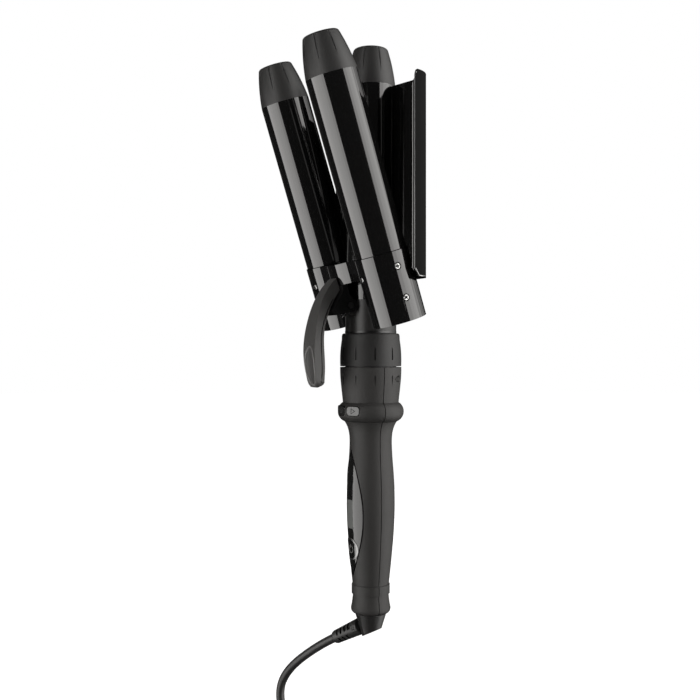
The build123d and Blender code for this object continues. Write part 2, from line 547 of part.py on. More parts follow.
with BuildPart() as waver_plate:
    with BuildSketch(Plane.XY.offset(PLATE_LOW)):
        for side in (1, -1):
            add(wing_sketch(side, 0, PLATE_THICK, PLATE_EDGE))
        Circle(SOCKET_R + 0.15, mode=Mode.SUBTRACT)
    extrude(amount=CENTRE_SEAM_Z - PLATE_LOW)
    with BuildSketch(Plane.XY.offset(CENTRE_SEAM_Z)):
        for side in (1, -1):
            add(wing_sketch(side, 0, PLATE_THICK, PLATE_EDGE))
        Circle(BARREL_R)
        Circle(BARREL_BORE, mode=Mode.SUBTRACT)
    extrude(amount=PLATE_TOP - CENTRE_SEAM_Z)
    with BuildSketch(Plane.XY.offset(PLATE_TOP)):
        Circle(BARREL_R)
        Circle(BARREL_BORE, mode=Mode.SUBTRACT)
    extrude(amount=CENTRE_TOP_Z - PLATE_TOP)
    with BuildSketch(Plane.XY.offset(CENTRE_SEAM_Z)):
        Circle(SPIGOT_R)
        Circle(BARREL_BORE, mode=Mode.SUBTRACT)
    extrude(amount=-SPIGOT_LENGTH)
    # blind bosses for the rear cover's screws
    with BuildSketch(Plane.XZ.offset(-BOSS_START_Y)):
        with Locations(*COVER_SCREWS):
            Circle(BOSS_R)
    extrude(amount=BOSS_START_Y - BOSS_END_Y)
    with BuildSketch(Plane.XZ.offset(-BOSS_END_Y)):
        with Locations(*COVER_SCREWS):
            Circle(COVER_SCREW_R + SCREW_GAP)
    extrude(amount=BOSS_END_Y - BOSS_START_Y - 0.7, mode=Mode.SUBTRACT)
save(waver_plate, "waver_plate")

with BuildPart() as plate_socket:
    with BuildSketch(Plane.XY.offset(NECK_TOP)):
        Circle(SOCKET_R)
    extrude(amount=CENTRE_SEAM_Z - NECK_TOP)
    with BuildSketch(Plane.XY.offset(CENTRE_SEAM_Z)):
        Circle(SPIGOT_R + SPIGOT_GAP)
    extrude(amount=-SPIGOT_LENGTH - 0.2, mode=Mode.SUBTRACT)
    with BuildSketch(Plane.XY.offset(NECK_TOP)):
        Circle(BARREL_BORE)
    extrude(amount=CENTRE_SEAM_Z - NECK_TOP, mode=Mode.SUBTRACT)
save(plate_socket, "plate_socket")


def plate_front(side, grow):
    """Everything in front of a wing's back face, out to the plate's edge."""
    start, touch, middle, edge = wing_outline(side, PLATE_THICK + grow, PLATE_EDGE + 0.3)
    centre = (side * BARREL_PITCH, CLAMP_BARREL_Y)
    ahead = -2 * BARREL_PITCH
    with BuildSketch(Plane.XY, mode=Mode.PRIVATE) as front:
        with BuildLine():
            ThreePointArc(touch, middle, edge)
            Polyline(edge, centre, (centre[0], ahead), (0, ahead), (0, start[1]), start, touch)
        make_face()
        with Locations(centre):
            Circle(PLATE_R + COVER_FIT)
    return front.sketch


def cover_outline():
    """The rear cover's outer line: a flat back with rounded sides."""
    back_r = COVER_BACK_Y - CLAMP_BARREL_Y
    centre_x = COVER_SIDE_X - back_r
    with BuildSketch(Plane.XY, mode=Mode.PRIVATE) as outline:
        with BuildLine():
            ends = []
            for side in (1, -1):
                arc = []
                for turn in (COVER_EDGE, COVER_EDGE / 2, 0):
                    across, back = back_r * sin(radians(turn)), back_r * cos(radians(turn))
                    arc.append((side * (centre_x + across), CLAMP_BARREL_Y + back))
                ends.append(ThreePointArc(*arc))
            Line(ends[0] @ 1, ends[1] @ 1)
            Line(ends[0] @ 0, ends[1] @ 0)
        make_face()
    return outline.sketch


def cover_hollow(side):
    """The space for the wiring between a wing and the flat back."""
    start, touch, middle, edge = wing_outline(side, PLATE_THICK + COVER_FIT + COVER_WALL, PLATE_EDGE)
    back = COVER_BACK_Y - COVER_WALL
    with BuildSketch(Plane.XY, mode=Mode.PRIVATE) as hollow:
        with BuildLine():
            Polyline(
                (side * (BARREL_R + COVER_WALL), start[1] + 2.2),
                (side * (BARREL_PITCH - 9), touch[1] - 1.2),
                (side * (BARREL_PITCH - 9), back),
                (side * (BARREL_R - 7), back),
                close=True,
            )
        make_face()
        Circle(SOCKET_R + COVER_WALL, mode=Mode.SUBTRACT)
    return hollow.sketch


with BuildPart() as rear_cover:
    for low, high, clear in (
        (PLATE_LOW, CENTRE_SEAM_Z, SOCKET_R + 0.15),
        (CENTRE_SEAM_Z, PLATE_TOP, BARREL_R + 0.15),
    ):
        with BuildSketch(Plane.XY.offset(low)):
            add(cover_outline())
            for side in (1, -1):
                add(plate_front(side, COVER_FIT), mode=Mode.SUBTRACT)
            Circle(clear, mode=Mode.SUBTRACT)
        extrude(amount=high - low)
    with BuildSketch(Plane.XY.offset(PLATE_LOW + COVER_WALL)):
        for side in (1, -1):
            add(cover_hollow(side))
    extrude(amount=PLATE_TOP - PLATE_LOW - 2 * COVER_WALL, mode=Mode.SUBTRACT)
    # rounded ends of the lips and back, seen from the side
    with BuildSketch(Plane.YZ.offset(-COVER_SIDE_X)):
        with BuildLine():
            FilletPolyline(
                (COVER_BACK_Y, PLATE_LOW),
                (COVER_BACK_Y, PLATE_TOP),
                (LIP_FRONT_Y, PLATE_TOP),
                (LIP_FRONT_Y, PLATE_LOW + LIP_CUT[1]),
                (LIP_FRONT_Y + LIP_CUT[0], PLATE_LOW),
                radius=[1.5, 1.5, LIP_TOP_ROUND, 1.5, 0.8],
                close=True,
            )
        make_face()
    extrude(amount=2 * COVER_SIDE_X, mode=Mode.INTERSECT)
    # clearance for the plate's screw bosses, then the screw holes
    with BuildSketch(Plane.XZ.offset(-COVER_BACK_Y)):
        with Locations(*COVER_SCREWS):
            Circle(COVER_SCREW_R + SCREW_GAP)
    extrude(amount=COVER_BACK_Y - BOSS_START_Y, mode=Mode.SUBTRACT)
    with BuildSketch(Plane.XZ.offset(-COVER_BACK_Y)):
        with Locations(*COVER_SCREWS):
            Circle(COVER_SCREW_HEAD_R + SCREW_GAP)
    extrude(amount=COVER_HEAD_DEPTH, mode=Mode.SUBTRACT)
    with BuildSketch(Plane.XZ.offset(-BOSS_END_Y - 0.1)):
        with Locations(*COVER_SCREWS):
            Circle(BOSS_R + 0.1)
    extrude(amount=BOSS_END_Y - BOSS_START_Y + 2, mode=Mode.SUBTRACT)
save(rear_cover, "rear_cover")

with BuildPart() as cover_screws:
    with BuildSketch(Plane.XZ.offset(-COVER_BACK_Y + COVER_HEAD_DEPTH)):
        with Locations(*COVER_SCREWS):
            Circle(COVER_SCREW_HEAD_R)
    extrude(amount=-COVER_HEAD_DEPTH + 0.1)
    with BuildSketch(Plane.XZ.offset(-COVER_BACK_Y + COVER_HEAD_DEPTH)):
        with Locations(*COVER_SCREWS):
            Circle(COVER_SCREW_R)
    extrude(amount=COVER_BACK_Y - COVER_HEAD_DEPTH - BOSS_START_Y - 0.9)
save(cover_screws, "cover_screws")


def screw_planes(head_depth):
    """Planes on the clamp sockets' walls that face out along each housing screw."""
    planes = []
    for side in (1, -1):
        turns = [(0.0, z) for z in HOUSING_SCREW_ZS] + [(FRONT_SCREW_ANGLE, FRONT_SCREW_Z)]
        for turn, z in turns:
            out = (side * cos(radians(turn)), sin(radians(turn)))
            reach = SOCKET_R - head_depth
            spot = clamp_point(side * BARREL_PITCH + out[0] * reach, CLAMP_BARREL_Y + out[1] * reach, z)
            normal = CLAMP.x_dir * out[0] + CLAMP.y_dir * out[1]
            planes.append(Plane(origin=spot, x_dir=CLAMP.z_dir, z_dir=normal))
    return planes


# ---------------------------------------------------------------- tips, heaters and clamp barrels
def tip_cap(plane):
    """A barrel's cool tip on a spigot, with tapered grooves, standing on the given plane."""
    with BuildPart(mode=Mode.PRIVATE) as cap:
        with BuildSketch(Plane.XZ):
            with BuildLine():
                middle_r = (BARREL_R + TIP_TOP_R) / 2 + TIP_SWELL
                side = ThreePointArc((BARREL_R, 0), (middle_r, TIP_LENGTH / 2), (TIP_TOP_R, TIP_LENGTH))
                Polyline(
                    side @ 1,
                    (0, TIP_LENGTH),
                    (0, -SPIGOT_LENGTH / 2),
                    (BARREL_BORE - SPIGOT_GAP, -SPIGOT_LENGTH / 2),
                    (BARREL_BORE - SPIGOT_GAP, 0),
                    side @ 0,
                )
            make_face()
        revolve(axis=Axis.Z)
        fillet(cap.edges().group_by(Axis.Z)[-1], TIP_ROUND)
        # each groove is a slim cone laid along the side, its point at the groove's lower end
        low = side @ (1 - TIP_GROOVE_SHARE)
        slope = atan2(low.X - TIP_TOP_R, TIP_LENGTH - low.Y)
        groove_length = hypot(low.X - TIP_TOP_R, TIP_LENGTH - low.Y) + 1.0
        for number in range(TIP_GROOVES):
            turn = radians(-90 + number * 360 / TIP_GROOVES)
            out = Vector(cos(turn), sin(turn), 0)
            up = Vector(0, 0, cos(slope)) - out * sin(slope)
            middle = out * (low.X + TIP_GROOVE_SHIFT) + Vector(0, 0, low.Y) + up * (groove_length / 2)
            with Locations(Plane(origin=middle, x_dir=up.cross(out), z_dir=up)):
                Cone(0.06, TIP_GROOVE_R, groove_length, mode=Mode.SUBTRACT)
    return plane.location * cap.part


def barrel_tube(plane, length):
    """A clamp barrel with the spigot that its socket holds."""
    with BuildPart(mode=Mode.PRIVATE) as tube:
        with BuildSketch(plane):
            Circle(BARREL_R)
        extrude(amount=length)
        with BuildSketch(plane):
            Circle(SPIGOT_R)
        extrude(amount=-SPIGOT_LENGTH)
        with BuildSketch(plane.offset(-SPIGOT_LENGTH)):
            Circle(BARREL_BORE)
        extrude(amount=length + SPIGOT_LENGTH, mode=Mode.SUBTRACT)
    return tube.part


def heater_bar(plane, barrel_length):
    """The heating element and its two pads, a push fit in a barrel's bore below its tip's spigot."""
    length = barrel_length - SPIGOT_LENGTH / 2 - 2 * HEATER_CLEAR
    with BuildPart(mode=Mode.PRIVATE) as bar:
        with BuildSketch(plane):
            Circle(BARREL_BORE - SPIGOT_GAP)
            with Locations(((HEATER_WEB + BARREL_R) / 2, 0), (-(HEATER_WEB + BARREL_R) / 2, 0)):
                Rectangle(BARREL_R, 1.4 * HEATER_WEB, mode=Mode.SUBTRACT)
        extrude(amount=length)
    return bar.part


with BuildPart() as centre_tip:
    add(tip_cap(Plane.XY.offset(CENTRE_TOP_Z)))
save(centre_tip, "centre_tip")

with BuildPart() as centre_heater:
    add(heater_bar(Plane.XY.offset(CENTRE_SEAM_Z + HEATER_CLEAR), CENTRE_TOP_Z - CENTRE_SEAM_Z))
save(centre_heater, "centre_heater")

for side_name, side in (("left", -1), ("right", 1)):
    barrel_x = side * BARREL_PITCH
    with BuildPart() as clamp_barrel:
        add(barrel_tube(clamp_level(barrel_x, CLAMP_BARREL_Y, CLAMP_SEAM_Z), CLAMP_TOP_Z - CLAMP_SEAM_Z))
        for plane in screw_planes(SOCKET_WALL):
            with BuildSketch(plane):
                Circle(SHELL_SCREW_R + SCREW_GAP)
            extrude(amount=-BARREL_WALL, mode=Mode.SUBTRACT)
    save(clamp_barrel, f"{side_name}_barrel")
    with BuildPart() as clamp_tip:
        add(tip_cap(clamp_level(barrel_x, CLAMP_BARREL_Y, CLAMP_TOP_Z)))
    save(clamp_tip, f"{side_name}_tip")
    with BuildPart() as clamp_heater:
        heater_low = clamp_level(barrel_x, CLAMP_BARREL_Y, CLAMP_SEAM_Z + HEATER_CLEAR)
        add(heater_bar(heater_low, CLAMP_TOP_Z - CLAMP_SEAM_Z))
    save(clamp_heater, f"{side_name}_heater")


# ---------------------------------------------------------------- clamp housing and its screws
def bridge_sketch():
    """Section of the bridge: an arch round the centre barrel with a web to each socket."""
    with BuildSketch(Plane.XY, mode=Mode.PRIVATE) as bridge:
        with Locations((0, (BRIDGE_WEB_BACK + BRIDGE_WEB_FRONT) / 2)):
            Rectangle(2 * BARREL_PITCH, BRIDGE_WEB_BACK - BRIDGE_WEB_FRONT)
        with Locations((BARREL_PITCH, CLAMP_BARREL_Y), (-BARREL_PITCH, CLAMP_BARREL_Y)):
            Circle(SOCKET_R - 0.5)
        Circle(BRIDGE_OUT_R)
        with Locations((0, BRIDGE_WEB_BACK + BARREL_PITCH)):
            Rectangle(2 * BRIDGE_OUT_R + 0.2, 2 * BARREL_PITCH, mode=Mode.SUBTRACT)
        Circle(BRIDGE_IN_R, mode=Mode.SUBTRACT)
        with Locations((BARREL_PITCH, CLAMP_BARREL_Y), (-BARREL_PITCH, CLAMP_BARREL_Y)):
            Circle(SOCKET_R - 1.0, mode=Mode.SUBTRACT)
    return bridge.sketch


with BuildPart() as clamp_housing:
    for side in (1, -1):
        with BuildSketch(clamp_level(side * BARREL_PITCH, CLAMP_BARREL_Y, CLAMP_SOCKET_LOW)):
            Circle(SOCKET_R)
        extrude(amount=CLAMP_SEAM_Z - CLAMP_SOCKET_LOW)
    with BuildSketch(clamp_level(0, 0, BRIDGE_LOW)):
        add(bridge_sketch())
    extrude(amount=CLAMP_SEAM_Z - BRIDGE_LOW)
    for side in (1, -1):
        with BuildSketch(clamp_level(side * BARREL_PITCH, CLAMP_BARREL_Y, CLAMP_SEAM_Z)):
            Circle(SPIGOT_R + SPIGOT_GAP)
        extrude(amount=-SPIGOT_LENGTH - 0.2, mode=Mode.SUBTRACT)
        with BuildSketch(clamp_level(side * BARREL_PITCH, CLAMP_BARREL_Y, CLAMP_SEAM_Z - SPIGOT_LENGTH)):
            Circle(BARREL_BORE - 1.0)
        extrude(amount=CLAMP_SOCKET_LOW + SOCKET_WALL - CLAMP_SEAM_Z + SPIGOT_LENGTH, mode=Mode.SUBTRACT)
    for plane in screw_planes(HOUSING_RECESS_DEPTH):
        with BuildSketch(plane):
            Circle(HOUSING_SCREW_HEAD_R + SCREW_GAP)
        extrude(amount=2 * HOUSING_RECESS_DEPTH, mode=Mode.SUBTRACT)
        with BuildSketch(plane):
            Circle(SHELL_SCREW_R + SCREW_GAP)
        extrude(amount=-HOUSING_RECESS_DEPTH - 0.6, mode=Mode.SUBTRACT)
save(clamp_housing, "clamp_housing")

with BuildPart() as housing_screws:
    for plane in screw_planes(HOUSING_RECESS_DEPTH):
        with BuildSketch(plane):
            Circle(HOUSING_SCREW_HEAD_R)
        extrude(amount=HOUSING_RECESS_DEPTH - 0.2)
        with BuildSketch(plane):
            Circle(SHELL_SCREW_R)
        extrude(amount=-HOUSING_RECESS_DEPTH - 0.5)
save(housing_screws, "housing_screws")

# ---------------------------------------------------------------- bracket and lever
def bridge_line(points):
    """Points given as distance out from the bridge and height, in the closed clamp's side view."""
    return [(-BRIDGE_OUT_R - out, height) for out, height in points]


with BuildPart() as clamp_bracket:
    with BuildSketch(clamp_side(-EAR_OUT)):
        with BuildLine():
            Polyline(
                (-BRIDGE_IN_R + 0.1, HINGE_Z + EAR_R + 1.1),
                (-BRIDGE_IN_R + 0.1, BRIDGE_LOW - 0.1),
                (-BRIDGE_OUT_R - 0.1, BRIDGE_LOW - 0.1),
                *bridge_line(LEVER_SEAT),
                (HINGE_Y - LUG_R - 0.9, HINGE_Z - 4.0),
                (HINGE_Y - LUG_R - 0.9, HINGE_Z + 2.0),
                close=True,
            )
        make_face()
    extrude(amount=2 * EAR_OUT)
    for ear_x in (-EAR_OUT, EAR_IN):
        with BuildSketch(clamp_side(ear_x)):
            with Locations((HINGE_Y, HINGE_Z)):
                Circle(EAR_R)
            with BuildLine():
                Polyline(
                    (HINGE_Y + 3.0, HINGE_Z + 3.3),
                    (-BRIDGE_IN_R + 0.1, HINGE_Z + EAR_R + 2),
                    (HINGE_Y - LUG_R - 2, HINGE_Z + EAR_R + 2),
                    (HINGE_Y - LUG_R - 2, HINGE_Z - 4.0),
                    (HINGE_Y - 1.0, HINGE_Z - EAR_R + 0.1),
                    close=True,
                )
            make_face()
        extrude(amount=EAR_OUT - EAR_IN)
    with BuildSketch(clamp_side(-PIN_HALF)):
        with Locations((HINGE_Y, HINGE_Z)):
            Circle(PIN_R + PIN_GAP)
    extrude(amount=2 * PIN_HALF, mode=Mode.SUBTRACT)
save(clamp_bracket, "clamp_bracket")

with BuildPart() as hinge_pin:
    with BuildSketch(Plane.YZ.offset(-PIN_HALF)):
        with Locations((HINGE_Y, HINGE_Z)):
            Circle(PIN_R)
    extrude(amount=2 * PIN_HALF)
save(hinge_pin, "hinge_pin")


def lever_form(thin):
    """The lever's curved blade; thin takes that much off its inner side."""
    with BuildPart(mode=Mode.PRIVATE) as blade:
        with BuildSketch(clamp_side(-PADDLE_WIDTH)):
            with BuildLine():
                front = Spline(*bridge_line(LEVER_FRONT))
                back = Spline(*[(y - thin, z - thin / 4) for y, z in bridge_line(LEVER_BACK)])
                Line(back @ 1, front @ 0)
                ThreePointArc(front @ 1, ((front @ 1 + back @ 0) / 2) - Vector(0.6, LEVER_TIP), back @ 0)
            make_face()
        extrude(amount=2 * PADDLE_WIDTH)
        # outline seen from the front: a shank that widens into a rounded thumb paddle
        with BuildSketch(Plane.XZ.offset(-COLLAR_R)):
            with BuildLine():
                half, paddle, top = LEVER_WIDTH / 2, PADDLE_WIDTH / 2, LEVER_FRONT[0][1] + LEVER_WIDTH
                side = [(half, top), (half, SHANK_Z), (paddle, PADDLE_Z), (paddle - PADDLE_IN, PADDLE_SIDE_Z)]
                right = Spline(side)
                tip = ThreePointArc(right @ 1, (0, PADDLE_LOW_Z), (PADDLE_IN - paddle, PADDLE_SIDE_Z))
                Spline([(-x, z) for x, z in reversed(side)])
                Line((-half, top), (half, top))
            make_face()
        extrude(amount=5 * COLLAR_R, mode=Mode.INTERSECT)
    return blade.part


with BuildPart() as lever:
    add(lever_form(LEVER_COVER))
    # shallow thumb dish: a long round cutter lying against the paddle's front
    lean = radians(THUMB_LEAN)
    dish_axis = CLAMP.z_dir * cos(lean) + CLAMP.y_dir * sin(lean)
    dish_out = CLAMP.z_dir * sin(lean) - CLAMP.y_dir * cos(lean)
    dish_y = -BRIDGE_OUT_R - THUMB_OUT
    with BuildSketch(Plane(origin=clamp_point(0, dish_y, THUMB_Z) + dish_out * THUMB_R, z_dir=dish_axis)):
        Circle(THUMB_R)
    extrude(amount=LEVER_WIDTH * 2, both=True, mode=Mode.SUBTRACT)
save(lever, "lever")

with BuildPart() as lever_cover:
    add(lever_form(0))
    add(lever_form(LEVER_COVER - 0.1), mode=Mode.SUBTRACT)
    add(clamp_bracket.part, mode=Mode.SUBTRACT)
save(lever_cover, "lever_cover")

# ---------------------------------------------------------------- closing spring
with BuildPart() as torsion_spring:
    hinge_axis = Axis((0, HINGE_Y, HINGE_Z), (1, 0, 0))
    coil = Edge.make_helix(
        2 * SPRING_HALF * 360 / SPRING_SWEEP,
        2 * SPRING_HALF,
        SPRING_R,
        center=(SPRING_HALF, HINGE_Y, HINGE_Z),
        normal=(-1, 0, 0),
        lefthand=True,
    )
    begin = coil @ 0
    coil = coil.rotate(hinge_axis, SPRING_START - degrees(atan2(begin.Z - HINGE_Z, begin.Y - HINGE_Y)))
    with BuildSketch(Plane(origin=coil @ 0, z_dir=coil % 0)):
        Circle(SPRING_WIRE)
    sweep(path=coil, is_frenet=True)
    for at, way, length in ((0, -1, SPRING_LEGS[0]), (1, 1, SPRING_LEGS[1])):
        with BuildSketch(Plane(origin=coil @ at, z_dir=(coil % at) * way)):
            Circle(SPRING_WIRE)
        extrude(amount=length)
save(torsion_spring, "torsion_spring")

# ---------------------------------------------------------------- cord swivel and strain relief
ARM_AXIS = Vector(0, -ARM_COS, -ARM_SIN)
ARM_END = Vector(0, ARM_END_Y, ARM_END_Z)


def arm_plane(back):
    """Plane across the strain relief, back millimetres behind its end, facing out along it."""
    return Plane(origin=ARM_END - ARM_AXIS * back, x_dir=(1, 0, 0), z_dir=ARM_AXIS)


with BuildPart() as swivel_body:
    with BuildSketch(Plane.XZ):
        with BuildLine():
            top, waist = FOOT_Z - SWIVEL_GAP, FOOT_Z - SWIVEL_WAIST_DROP
            flange = FOOT_Z + FOOT_WALL + SWIVEL_GAP
            Polyline(
                (SWIVEL_TOP_R, top),
                (SWIVEL_WAIST_R, waist),
                (SWIVEL_WAIST_R - SWIVEL_TAIL_SLIM, waist - SWIVEL_TAIL),
                (0, waist - SWIVEL_TAIL),
                (0, flange + SWIVEL_FLANGE_THICK),
                (SWIVEL_FLANGE_R, flange + SWIVEL_FLANGE_THICK),
                (SWIVEL_FLANGE_R, flange),
                (SWIVEL_STEM_R, flange),
                (SWIVEL_STEM_R, top),
                close=True,
            )
        make_face()
    revolve(axis=Axis.Z)
    # the underside is cut on the slant of the arm
    slant = Plane(origin=(0, 0, SWIVEL_LOW_Z), x_dir=(1, 0, 0), z_dir=(0, -ARM_AXIS.Z, ARM_AXIS.Y))
    with BuildSketch(slant):
        Rectangle(6 * SWIVEL_TOP_R, 6 * SWIVEL_TOP_R)
    extrude(amount=4 * SWIVEL_TOP_R, mode=Mode.SUBTRACT)
    # socket that the strain relief's root fills
    with BuildSketch(arm_plane(0)):
        Circle(ARM_ROOT_R)
    extrude(amount=-ARM_LENGTH, mode=Mode.SUBTRACT)
save(swivel_body, "swivel_body", SWIVEL_TURN)


def arm_slot(back, half_turn, up):
    """One slot across the strain relief, reaching half_turn degrees to each side of its top or bottom."""
    reach = 2 * ARM_R
    across, along = reach * sin(radians(half_turn)), reach * cos(radians(half_turn))
    with BuildPart(mode=Mode.PRIVATE) as slot:
        with BuildSketch(arm_plane(back)):
            Circle(reach)
            Circle(SLOT_CORE_R, mode=Mode.SUBTRACT)
            with BuildLine():
                Polyline(
                    (0, 0),
                    (across, up * along),
                    (across, up * reach),
                    (-across, up * reach),
                    (-across, up * along),
                    close=True,
                )
            make_face(mode=Mode.INTERSECT)
        extrude(amount=-SLOT_WIDTH)
    return slot.part


with BuildPart() as strain_relief:
    with BuildSketch(arm_plane(ARM_SLEEVE)):
        Circle(ARM_R)
    with BuildSketch(arm_plane(0)):
        Circle(ARM_END_R)
    loft()
    rims = strain_relief.edges().filter_by(lambda edge: edge.is_closed)
    fillet(rims.sort_by_distance(ARM_END)[0], ARM_END_ROUND)
    add(swivel_body.part, mode=Mode.SUBTRACT)
    with BuildSketch(arm_plane(ARM_LENGTH - 0.1)):
        Circle(ARM_ROOT_R)
    extrude(amount=ARM_LENGTH - 0.1)
    for number in range(SLOT_COUNT):
        start = SLOT_FIRST + number * SLOT_PITCH
        add(arm_slot(start, SLOT_TOP_HALF, 1), mode=Mode.SUBTRACT)
        if number < SLOT_COUNT - 1:
            add(arm_slot(start, SLOT_LOW_HALF, -1), mode=Mode.SUBTRACT)
    # ringed dimple on each side, near the root
    dimple_x = ARM_END_R + (ARM_R - ARM_END_R) * DIMPLE_BACK / ARM_SLEEVE - DIMPLE_DEPTH
    for side in (1, -1):
        spot = ARM_END - ARM_AXIS * DIMPLE_BACK + Vector(side * dimple_x, 0, 0)
        with BuildSketch(Plane(origin=spot, x_dir=ARM_AXIS, z_dir=(side, 0, 0))):
            Circle(DIMPLE_R)
            Circle(DIMPLE_R - DIMPLE_RING, mode=Mode.SUBTRACT)
        extrude(amount=2, mode=Mode.SUBTRACT)
save(strain_relief, "strain_relief", SWIVEL_TURN)


# ---------------------------------------------------------------- cord, coil and plug
def bend_radii(route):
    """Radius for each bend, as large as its shorter run allows."""
    radii = []
    for before, here, after in zip(route, route[1:], route[2:]):
        run_in, run_out = Vector(here) - Vector(before), Vector(after) - Vector(here)
        half = radians(run_in.get_angle(run_out)) / 2
        radii.append(BEND_SHARE * min(run_in.length, run_out.length) / tan(half))
    return radii


with BuildPart() as cord_tube:
    with BuildLine():
        run = FilletPolyline(*CORD_ROUTE, radius=bend_radii(CORD_ROUTE))
    with BuildSketch(Plane(origin=run @ 0, z_dir=run % 0)):
        Circle(CORD_R)
    sweep()
save(cord_tube, "cord_tube", SWIVEL_TURN)

with BuildPart() as coil_ring:
    high_r = COIL_LAST_R - (COIL_HIGH_TURNS - 1) * CORD_R
    with BuildSketch(Plane.XZ):
        with Locations((COIL_R, FLOOR_Z + CORD_R)):
            Rectangle(2 * CORD_R * (COIL_LOW_TURNS - 1) + 0.8, 0.8)
            with GridLocations(2 * CORD_R, 0, COIL_LOW_TURNS, 1):
                Circle(CORD_R)
        with Locations((high_r, COIL_TOP_AXIS_Z)):
            with GridLocations(2 * CORD_R, 0, COIL_HIGH_TURNS, 1):
                Circle(CORD_R)
        with Locations((high_r, FLOOR_Z + 2 * CORD_R)):
            Rectangle(2 * CORD_R * (COIL_HIGH_TURNS - 1) + 0.8, 2 * CORD_R + 0.8)
    revolve(axis=Axis.Z)

with BuildPart() as cord_coil:
    add(Pos(COIL_X, COIL_Y, 0) * coil_ring.part)
    with BuildLine():
        tail = FilletPolyline(*TAIL_ROUTE, radius=bend_radii(TAIL_ROUTE))
    with BuildSketch(Plane(origin=tail @ 0, z_dir=tail % 0)):
        Circle(CORD_R)
    sweep()
save(cord_coil, "cord_coil", SWIVEL_TURN)

with BuildPart() as plug_body:
    boot = Plane.XZ.offset(-PLUG_Y)
    with BuildSketch(boot.offset(PLUG_BOOT_LENGTH)):
        with Locations((PLUG_X, PLUG_Z)):
            RectangleRounded(PLUG_NOSE_WIDTH, PLUG_HEIGHT, PLUG_ROUND)
    with BuildSketch(boot.offset(PLUG_BOOT_LENGTH + PLUG_LENGTH / 2)):
        with Locations((PLUG_X, PLUG_Z)):
            RectangleRounded(PLUG_WIDTH, PLUG_HEIGHT, PLUG_ROUND)
    loft()
    with BuildSketch(boot.offset(PLUG_BOOT_LENGTH + PLUG_LENGTH / 2)):
        with Locations((PLUG_X, PLUG_Z)):
            RectangleRounded(PLUG_WIDTH, PLUG_HEIGHT, PLUG_ROUND)
    extrude(amount=PLUG_LENGTH / 2)
    with BuildSketch(boot):
        with Locations((PLUG_X, PLUG_Z)):
            Circle(PLUG_BOOT_R)
    with BuildSketch(boot.offset(PLUG_BOOT_LENGTH)):
        with Locations((PLUG_X, PLUG_Z)):
            Circle(PLUG_BOOT_R + 1)
    loft()
save(plug_body, "plug_body", SWIVEL_TURN)

with BuildPart() as plug_pins:
    face = Plane.XZ.offset(-PLUG_Y + PLUG_BOOT_LENGTH + PLUG_LENGTH)
    for pin_x in (PLUG_X - PIN_PLUG_PITCH / 2, PLUG_X + PIN_PLUG_PITCH / 2):
        with BuildSketch(face):
            with Locations((pin_x, PLUG_Z)):
                Circle(PIN_PLUG_R)
        extrude(amount=PIN_PLUG_LENGTH)
    chamfer(plug_pins.edges().group_by(Axis.Y)[0], 0.8)
save(plug_pins, "plug_pins", SWIVEL_TURN)
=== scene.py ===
# %% [markdown]
# # A three-barrel hair waver
# The tool is a handle with a fixed barrel between two curved wings, and a clamp of two more barrels on a
# hinge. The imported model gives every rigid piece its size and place. This notebook loads it, sets the camera
# and the light, and then gives each piece its surface, its soft edges and its small details.

# %% Load the model
import json
from math import cos, pi, radians, sin, sqrt, tan

import bmesh
import bpy
from mathutils import Matrix, Vector
from mathutils.bvhtree import BVHTree


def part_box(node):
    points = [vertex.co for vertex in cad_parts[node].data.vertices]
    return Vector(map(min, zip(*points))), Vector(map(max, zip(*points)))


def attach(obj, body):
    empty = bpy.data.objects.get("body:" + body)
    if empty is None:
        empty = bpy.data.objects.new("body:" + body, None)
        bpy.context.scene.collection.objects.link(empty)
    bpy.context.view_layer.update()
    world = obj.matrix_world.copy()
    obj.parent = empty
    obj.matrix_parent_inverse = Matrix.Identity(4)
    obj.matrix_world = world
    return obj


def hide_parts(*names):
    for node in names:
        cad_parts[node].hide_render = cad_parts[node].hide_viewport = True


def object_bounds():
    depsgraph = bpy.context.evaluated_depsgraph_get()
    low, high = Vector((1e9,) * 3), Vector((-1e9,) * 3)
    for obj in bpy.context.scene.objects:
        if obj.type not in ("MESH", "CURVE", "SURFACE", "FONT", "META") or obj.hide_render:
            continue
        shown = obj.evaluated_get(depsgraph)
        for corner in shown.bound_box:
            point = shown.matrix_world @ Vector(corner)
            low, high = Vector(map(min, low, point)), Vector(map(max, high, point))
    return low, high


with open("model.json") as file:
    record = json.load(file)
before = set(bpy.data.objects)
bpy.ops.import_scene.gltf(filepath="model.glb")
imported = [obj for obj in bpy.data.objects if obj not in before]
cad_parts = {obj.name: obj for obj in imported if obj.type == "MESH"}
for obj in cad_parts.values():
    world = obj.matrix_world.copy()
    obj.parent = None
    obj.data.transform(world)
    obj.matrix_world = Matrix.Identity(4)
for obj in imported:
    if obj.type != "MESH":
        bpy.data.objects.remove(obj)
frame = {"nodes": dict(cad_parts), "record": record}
cad_box = [list(corner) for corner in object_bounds()]
nodes = frame["nodes"]
MM = 0.001  # a millimetre in the scene's metres
print("loaded", len(nodes), "nodes")

# %% [markdown]
# ## Camera
# A product camera stands level with the object and some way off, so that upright lines stay upright and the
# barrels look straight. Its lens follows from a focal length of 1010 pixels in a picture 700 pixels wide.

